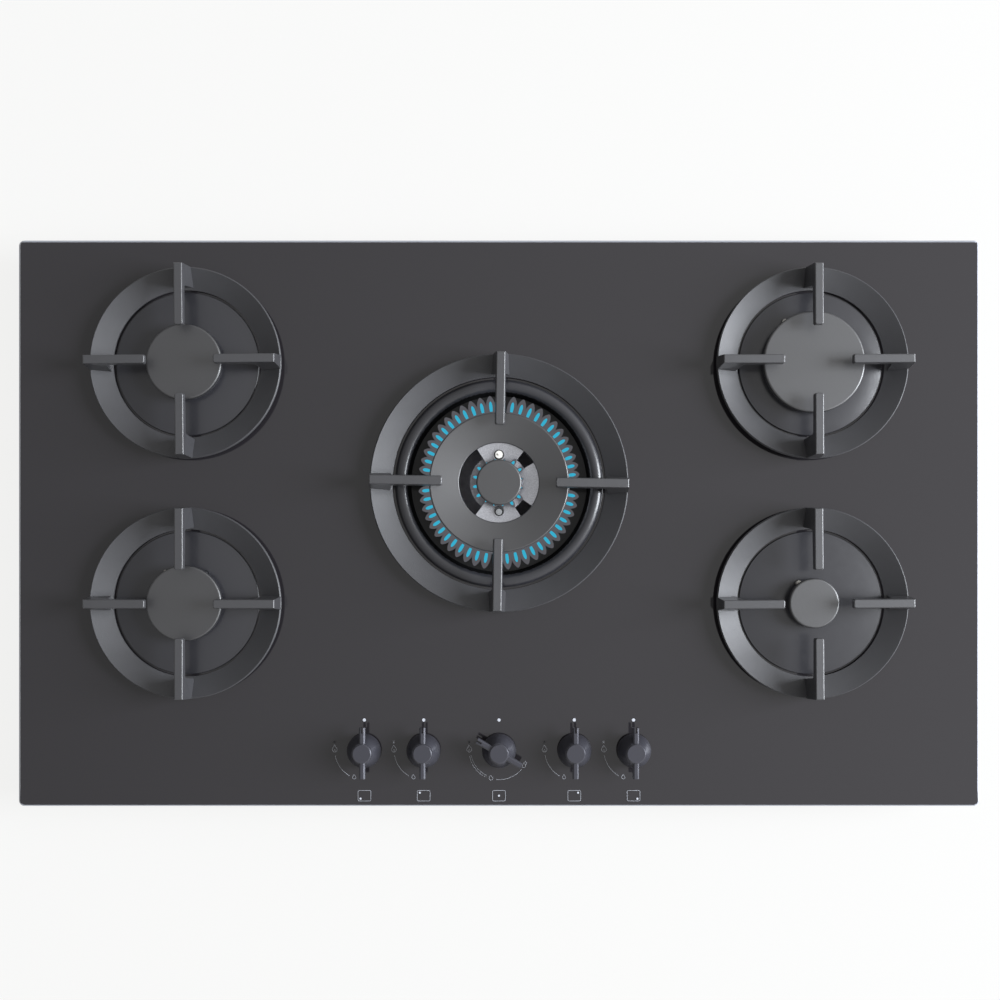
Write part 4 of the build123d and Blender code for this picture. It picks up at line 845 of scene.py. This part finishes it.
# ---------------------------------------------------------------- printed marks
def ribbon(mesh, points, width, closed=False):
    """A flat line of one width through points on the glass."""
    count = len(points)
    edges = []
    for i, point in enumerate(points):
        before = points[(i - 1) % count] if closed or i else point
        after = points[(i + 1) % count] if closed or i < count - 1 else point
        along = (after - before).normalized()
        out = Vector((-along.y, along.x)) * width / 2
        edges.append([mesh.verts.new((*(point + out), TOP)), mesh.verts.new((*(point - out), TOP))])
    for i in range(count if closed else count - 1):
        a, b = edges[i], edges[(i + 1) % count]
        mesh.faces.new((a[0], b[0], b[1], a[1]))


def spot(mesh, middle, radius):
    """A flat round dot on the glass."""
    rim = [middle + polar(radius, 360 * i / SPOT_SIDES) for i in range(SPOT_SIDES)]
    mesh.faces.new([mesh.verts.new((*point, TOP)) for point in rim])


def arc_points(middle, radius, start, end):
    steps = max(2, int(abs(end - start) / ARC_STEP))
    return [middle + polar(radius, start + (end - start) * i / steps) for i in range(steps + 1)]


def flame_points(middle, width, height):
    """Outline of a drop-shaped flame, its point up and a little to the left."""
    points = []
    for i in range(DROP_SIDES):
        turn = 360 * i / DROP_SIDES
        narrow = max(0.0, math.sin(math.radians(turn)))
        x = math.cos(math.radians(turn)) * (1 - narrow**1.3) ** 0.75 - DROP_LEAN * narrow**2
        y = math.sin(math.radians(turn))
        tall = (y if y < 0 else y * DROP_POINT) * height / DROP_SPAN
        points.append(middle + Vector((x * width / 2, tall)))
    return points


def small_flame(mesh, middle, width, height, line):
    """A flame's outline, its sizes in millimetres."""
    ribbon(mesh, flame_points(middle, width * MM, height * MM), line, closed=True)


def print_start(mesh, middle, line):
    """The spark and the high flame on the left of a knob."""
    spark = middle + Vector(SPARK_AT) * MM
    for turn in (0, 60, 120):
        arm = polar(SPARK_R, turn)
        ribbon(mesh, [spark - arm, spark + arm], line * HEAVY)
    big = middle + Vector(HIGH_FLAME_AT) * MM
    small_flame(mesh, big, 4.6, 6.6, line)
    small_flame(mesh, big - Vector((0, INNER_FLAME_DROP)), 1.7, 2.6, line * 0.7)


def print_plain_scale(mesh, middle, line):
    """An outer knob's arc down to the low flame."""
    ribbon(mesh, arc_points(middle, 27.8 * MM, 190, 240), line)
    small_flame(mesh, middle + polar(27.2 * MM, 249.4), 3.2, 4.2, line)


def print_ring_scale(mesh, middle, line):
    """The middle knob's hatched scale down to a flame, then its arc to a pair of small flames."""
    for radius in (SCALE_IN, SCALE_OUT):
        ribbon(mesh, arc_points(middle, radius * MM, 191, 244), line * 0.8)
    for turn in range(191, 246, 4):
        ends = [middle + polar(SCALE_IN * MM, turn), middle + polar(SCALE_OUT * MM, turn + 2)]
        ribbon(mesh, ends, line * 0.6)
    small_flame(mesh, middle + polar(27.4 * MM, 254), 3.6, 4.6, line)
    ribbon(mesh, arc_points(middle, 27.7 * MM, 265, 320.4), line)
    for turn, grow in ((327.5, 1.0), (333.5, 0.75)):
        pair = middle + polar(27.6 * MM, turn)
        outline = flame_points(pair, 3.2 * MM * grow, 4.2 * MM * grow)
        ribbon(mesh, outline, line, closed=True)


def print_picture(mesh, x, side, row, line):
    """The cooktop's outline, with a dot for the burner that the knob serves."""
    picture = Vector((x, PICTURE_Y))
    half = Vector(PICTURE_HALF) * MM
    outline = []
    for quarter, (sx, sy) in enumerate(((1, 1), (-1, 1), (-1, -1), (1, -1))):
        inset = Vector((sx * (half.x - PICTURE_CORNER), sy * (half.y - PICTURE_CORNER)))
        at = picture + inset
        outline += [at + polar(PICTURE_CORNER, 90 * quarter + 15 * i) for i in range(7)]
    ribbon(mesh, outline, line * HEAVY, closed=True)
    dot = Vector((side * PICTURE_DOT_X, row * PICTURE_DOT_Y)) * MM
    spot(mesh, picture + dot, PICTURE_DOT_R)


class COOKTOP_OT_marks(bpy.types.Operator):
    """Prints the off dots, sparks, flames, arcs and burner pictures on the glass"""

    bl_idname = "cooktop.marks"
    bl_label = "Printed Marks"

    def execute(self, context):
        values = context.scene.cooktop_glass
        ink = ceramic_ink(values.ink)
        line = values.line
        for number, (place, (side, row)) in enumerate(zip(KNOB_PLACES, PICTURE_DOTS), 1):
            middle = Vector((place.x, place.y))
            print_scale = print_ring_scale if number == 3 else print_plain_scale

            def print_marks(mesh):
                spot(mesh, Vector((place.x, OFF_DOT_Y)), OFF_DOT_R)
                print_start(mesh, middle, line)
                print_scale(mesh, middle, line)
                print_picture(mesh, place.x, side, row, line)

            name = f"printed_marks_{number}"
            marks = new_piece(name, print_marks, ink, "cooktop")
            thick = marks.modifiers.new("ink_thickness", "SOLIDIFY")
            thick.thickness = INK_T
            thick.offset = 1.0
        return {"FINISHED"}


# ---------------------------------------------------------------- flames
def outer_flame_ways():
    """Directions of the outer flames: twelve in each quarter and none under the fingers."""
    middle = (OUTER_PORTS - 1) / 2
    return [
        quarter - OUTER_TURN + OUTER_PITCH * (i - middle)
        for quarter in (45, 135, 225, 315)
        for i in range(OUTER_PORTS)
    ]


def inner_flame_ways():
    return [INNER_TURN + 360 / INNER_PORTS * i for i in range(INNER_PORTS)]


def over_land(way):
    """Whether an inner flame burns over one of the bright lands."""
    return any(start < (way + 180) % 360 - 180 < end for start, end in LANDS)


def flame(mesh, foot, out, length, wide, tall, shape):
    """One flame: a flattened, blunt drop that lies along out."""
    across = Vector((-out.y, out.x, 0)).normalized()
    up = out.cross(across)
    rows = []
    for along, swell in shape:
        at = foot + out * length * along
        ring = [polar(0.5 * swell, 360 * k / FLAME_SIDES) for k in range(FLAME_SIDES)]
        rows.append([mesh.verts.new(at + across * p.x * wide + up * p.y * tall) for p in ring])
    tip = mesh.verts.new(foot + out * length)
    pairs = [(k, (k + 1) % FLAME_SIDES) for k in range(FLAME_SIDES)]
    for low, high in zip(rows, rows[1:]):
        for k, after in pairs:
            mesh.faces.new((low[k], low[after], high[after], high[k]))
    for k, after in pairs:
        mesh.faces.new((rows[-1][k], rows[-1][after], tip))
    mesh.faces.new(rows[0][::-1])


class COOKTOP_OT_flames(bpy.types.Operator):
    """Lights the middle burner's outer and inner rings"""

    bl_idname = "cooktop.flames"
    bl_label = "Flames"

    def execute(self, context):
        values = context.scene.cooktop_flames
        if not values.lit:
            return {"FINISHED"}
        middle = Vector((HUB.x, HUB.y, TOP))
        core = gas_flame("gas_flame_core", values.blue, 0.05, 0.0)
        veil = gas_flame("gas_flame_veil", values.veil, 0.2, 0.8)
        # each flame's direction, and its length as a share of the ring's
        outer = [
            (way, 1.0 + LONGER * math.sin(math.radians(way)) ** 2) for way in outer_flame_ways()
        ]
        inner = [(way, OVER_LAND_SHARE if over_land(way) else 1.0) for way in inner_flame_ways()]
        for name, (radius, height, share, wide, tall) in FLAME_RINGS.items():
            ways = outer if name.startswith("outer") else inner
            finish, shape = (core, CORE_SHAPE) if name.endswith("core") else (veil, VEIL_SHAPE)
            # a short inner flame is narrower too, and a long outer one stands further out
            wider = 1.0 if ways is inner else 0.0

            def light(mesh):
                for way, grow in ways:
                    swell = 1.0 + wider * (grow - 1.0)
                    shift = GROWN_SHIFT * (grow - 1.0) * (1.0 - wider)
                    out = Vector((*polar(1.0, way), RISE)).normalized()
                    foot = middle + Vector((*polar((radius + shift) * MM, way), height * MM))
                    size = (wide * MM * swell, tall * MM * swell)
                    flame(mesh, foot, out, values.length * share * grow, *size, shape)

            new_piece(name, light, finish, "crown_centre")
        return {"FINISHED"}


STEPS = (
    COOKTOP_OT_stage,
    COOKTOP_OT_glass,
    COOKTOP_OT_under_tray,
    COOKTOP_OT_burners,
    COOKTOP_OT_ignition,
    COOKTOP_OT_gas_line,
    COOKTOP_OT_pan_supports,
    COOKTOP_OT_knobs,
    COOKTOP_OT_marks,
    COOKTOP_OT_flames,
)
SETTINGS = {
    "cooktop_stage": CooktopStageSettings,
    "cooktop_glass": CooktopGlassSettings,
    "cooktop_metal": CooktopMetalSettings,
    "cooktop_flames": CooktopFlameSettings,
}


class COOKTOP_PT_panel(bpy.types.Panel):
    """Lists the cooktop's settings and steps"""

    bl_idname = "COOKTOP_PT_panel"
    bl_label = "Gas Cooktop"
    bl_space_type = "VIEW_3D"
    bl_region_type = "UI"
    bl_category = "Cooktop"

    def draw(self, context):
        for name in SETTINGS:
            box = self.layout.box()
            group = getattr(context.scene, name)
            for key in group.__annotations__:
                box.prop(group, key)
        for step in STEPS:
            self.layout.operator(step.bl_idname)


def register():
    for one in (*SETTINGS.values(), *STEPS, COOKTOP_PT_panel):
        bpy.utils.register_class(one)
    for name, group in SETTINGS.items():
        setattr(bpy.types.Scene, name, PointerProperty(type=group))


def unregister():
    for name in SETTINGS:
        delattr(bpy.types.Scene, name)
    for one in reversed((*SETTINGS.values(), *STEPS, COOKTOP_PT_panel)):
        bpy.utils.unregister_class(one)


def main():
    register()
    for step in STEPS:
        getattr(bpy.ops.cooktop, step.bl_idname.split(".")[1])()


if __name__ == "__main__":
    main()
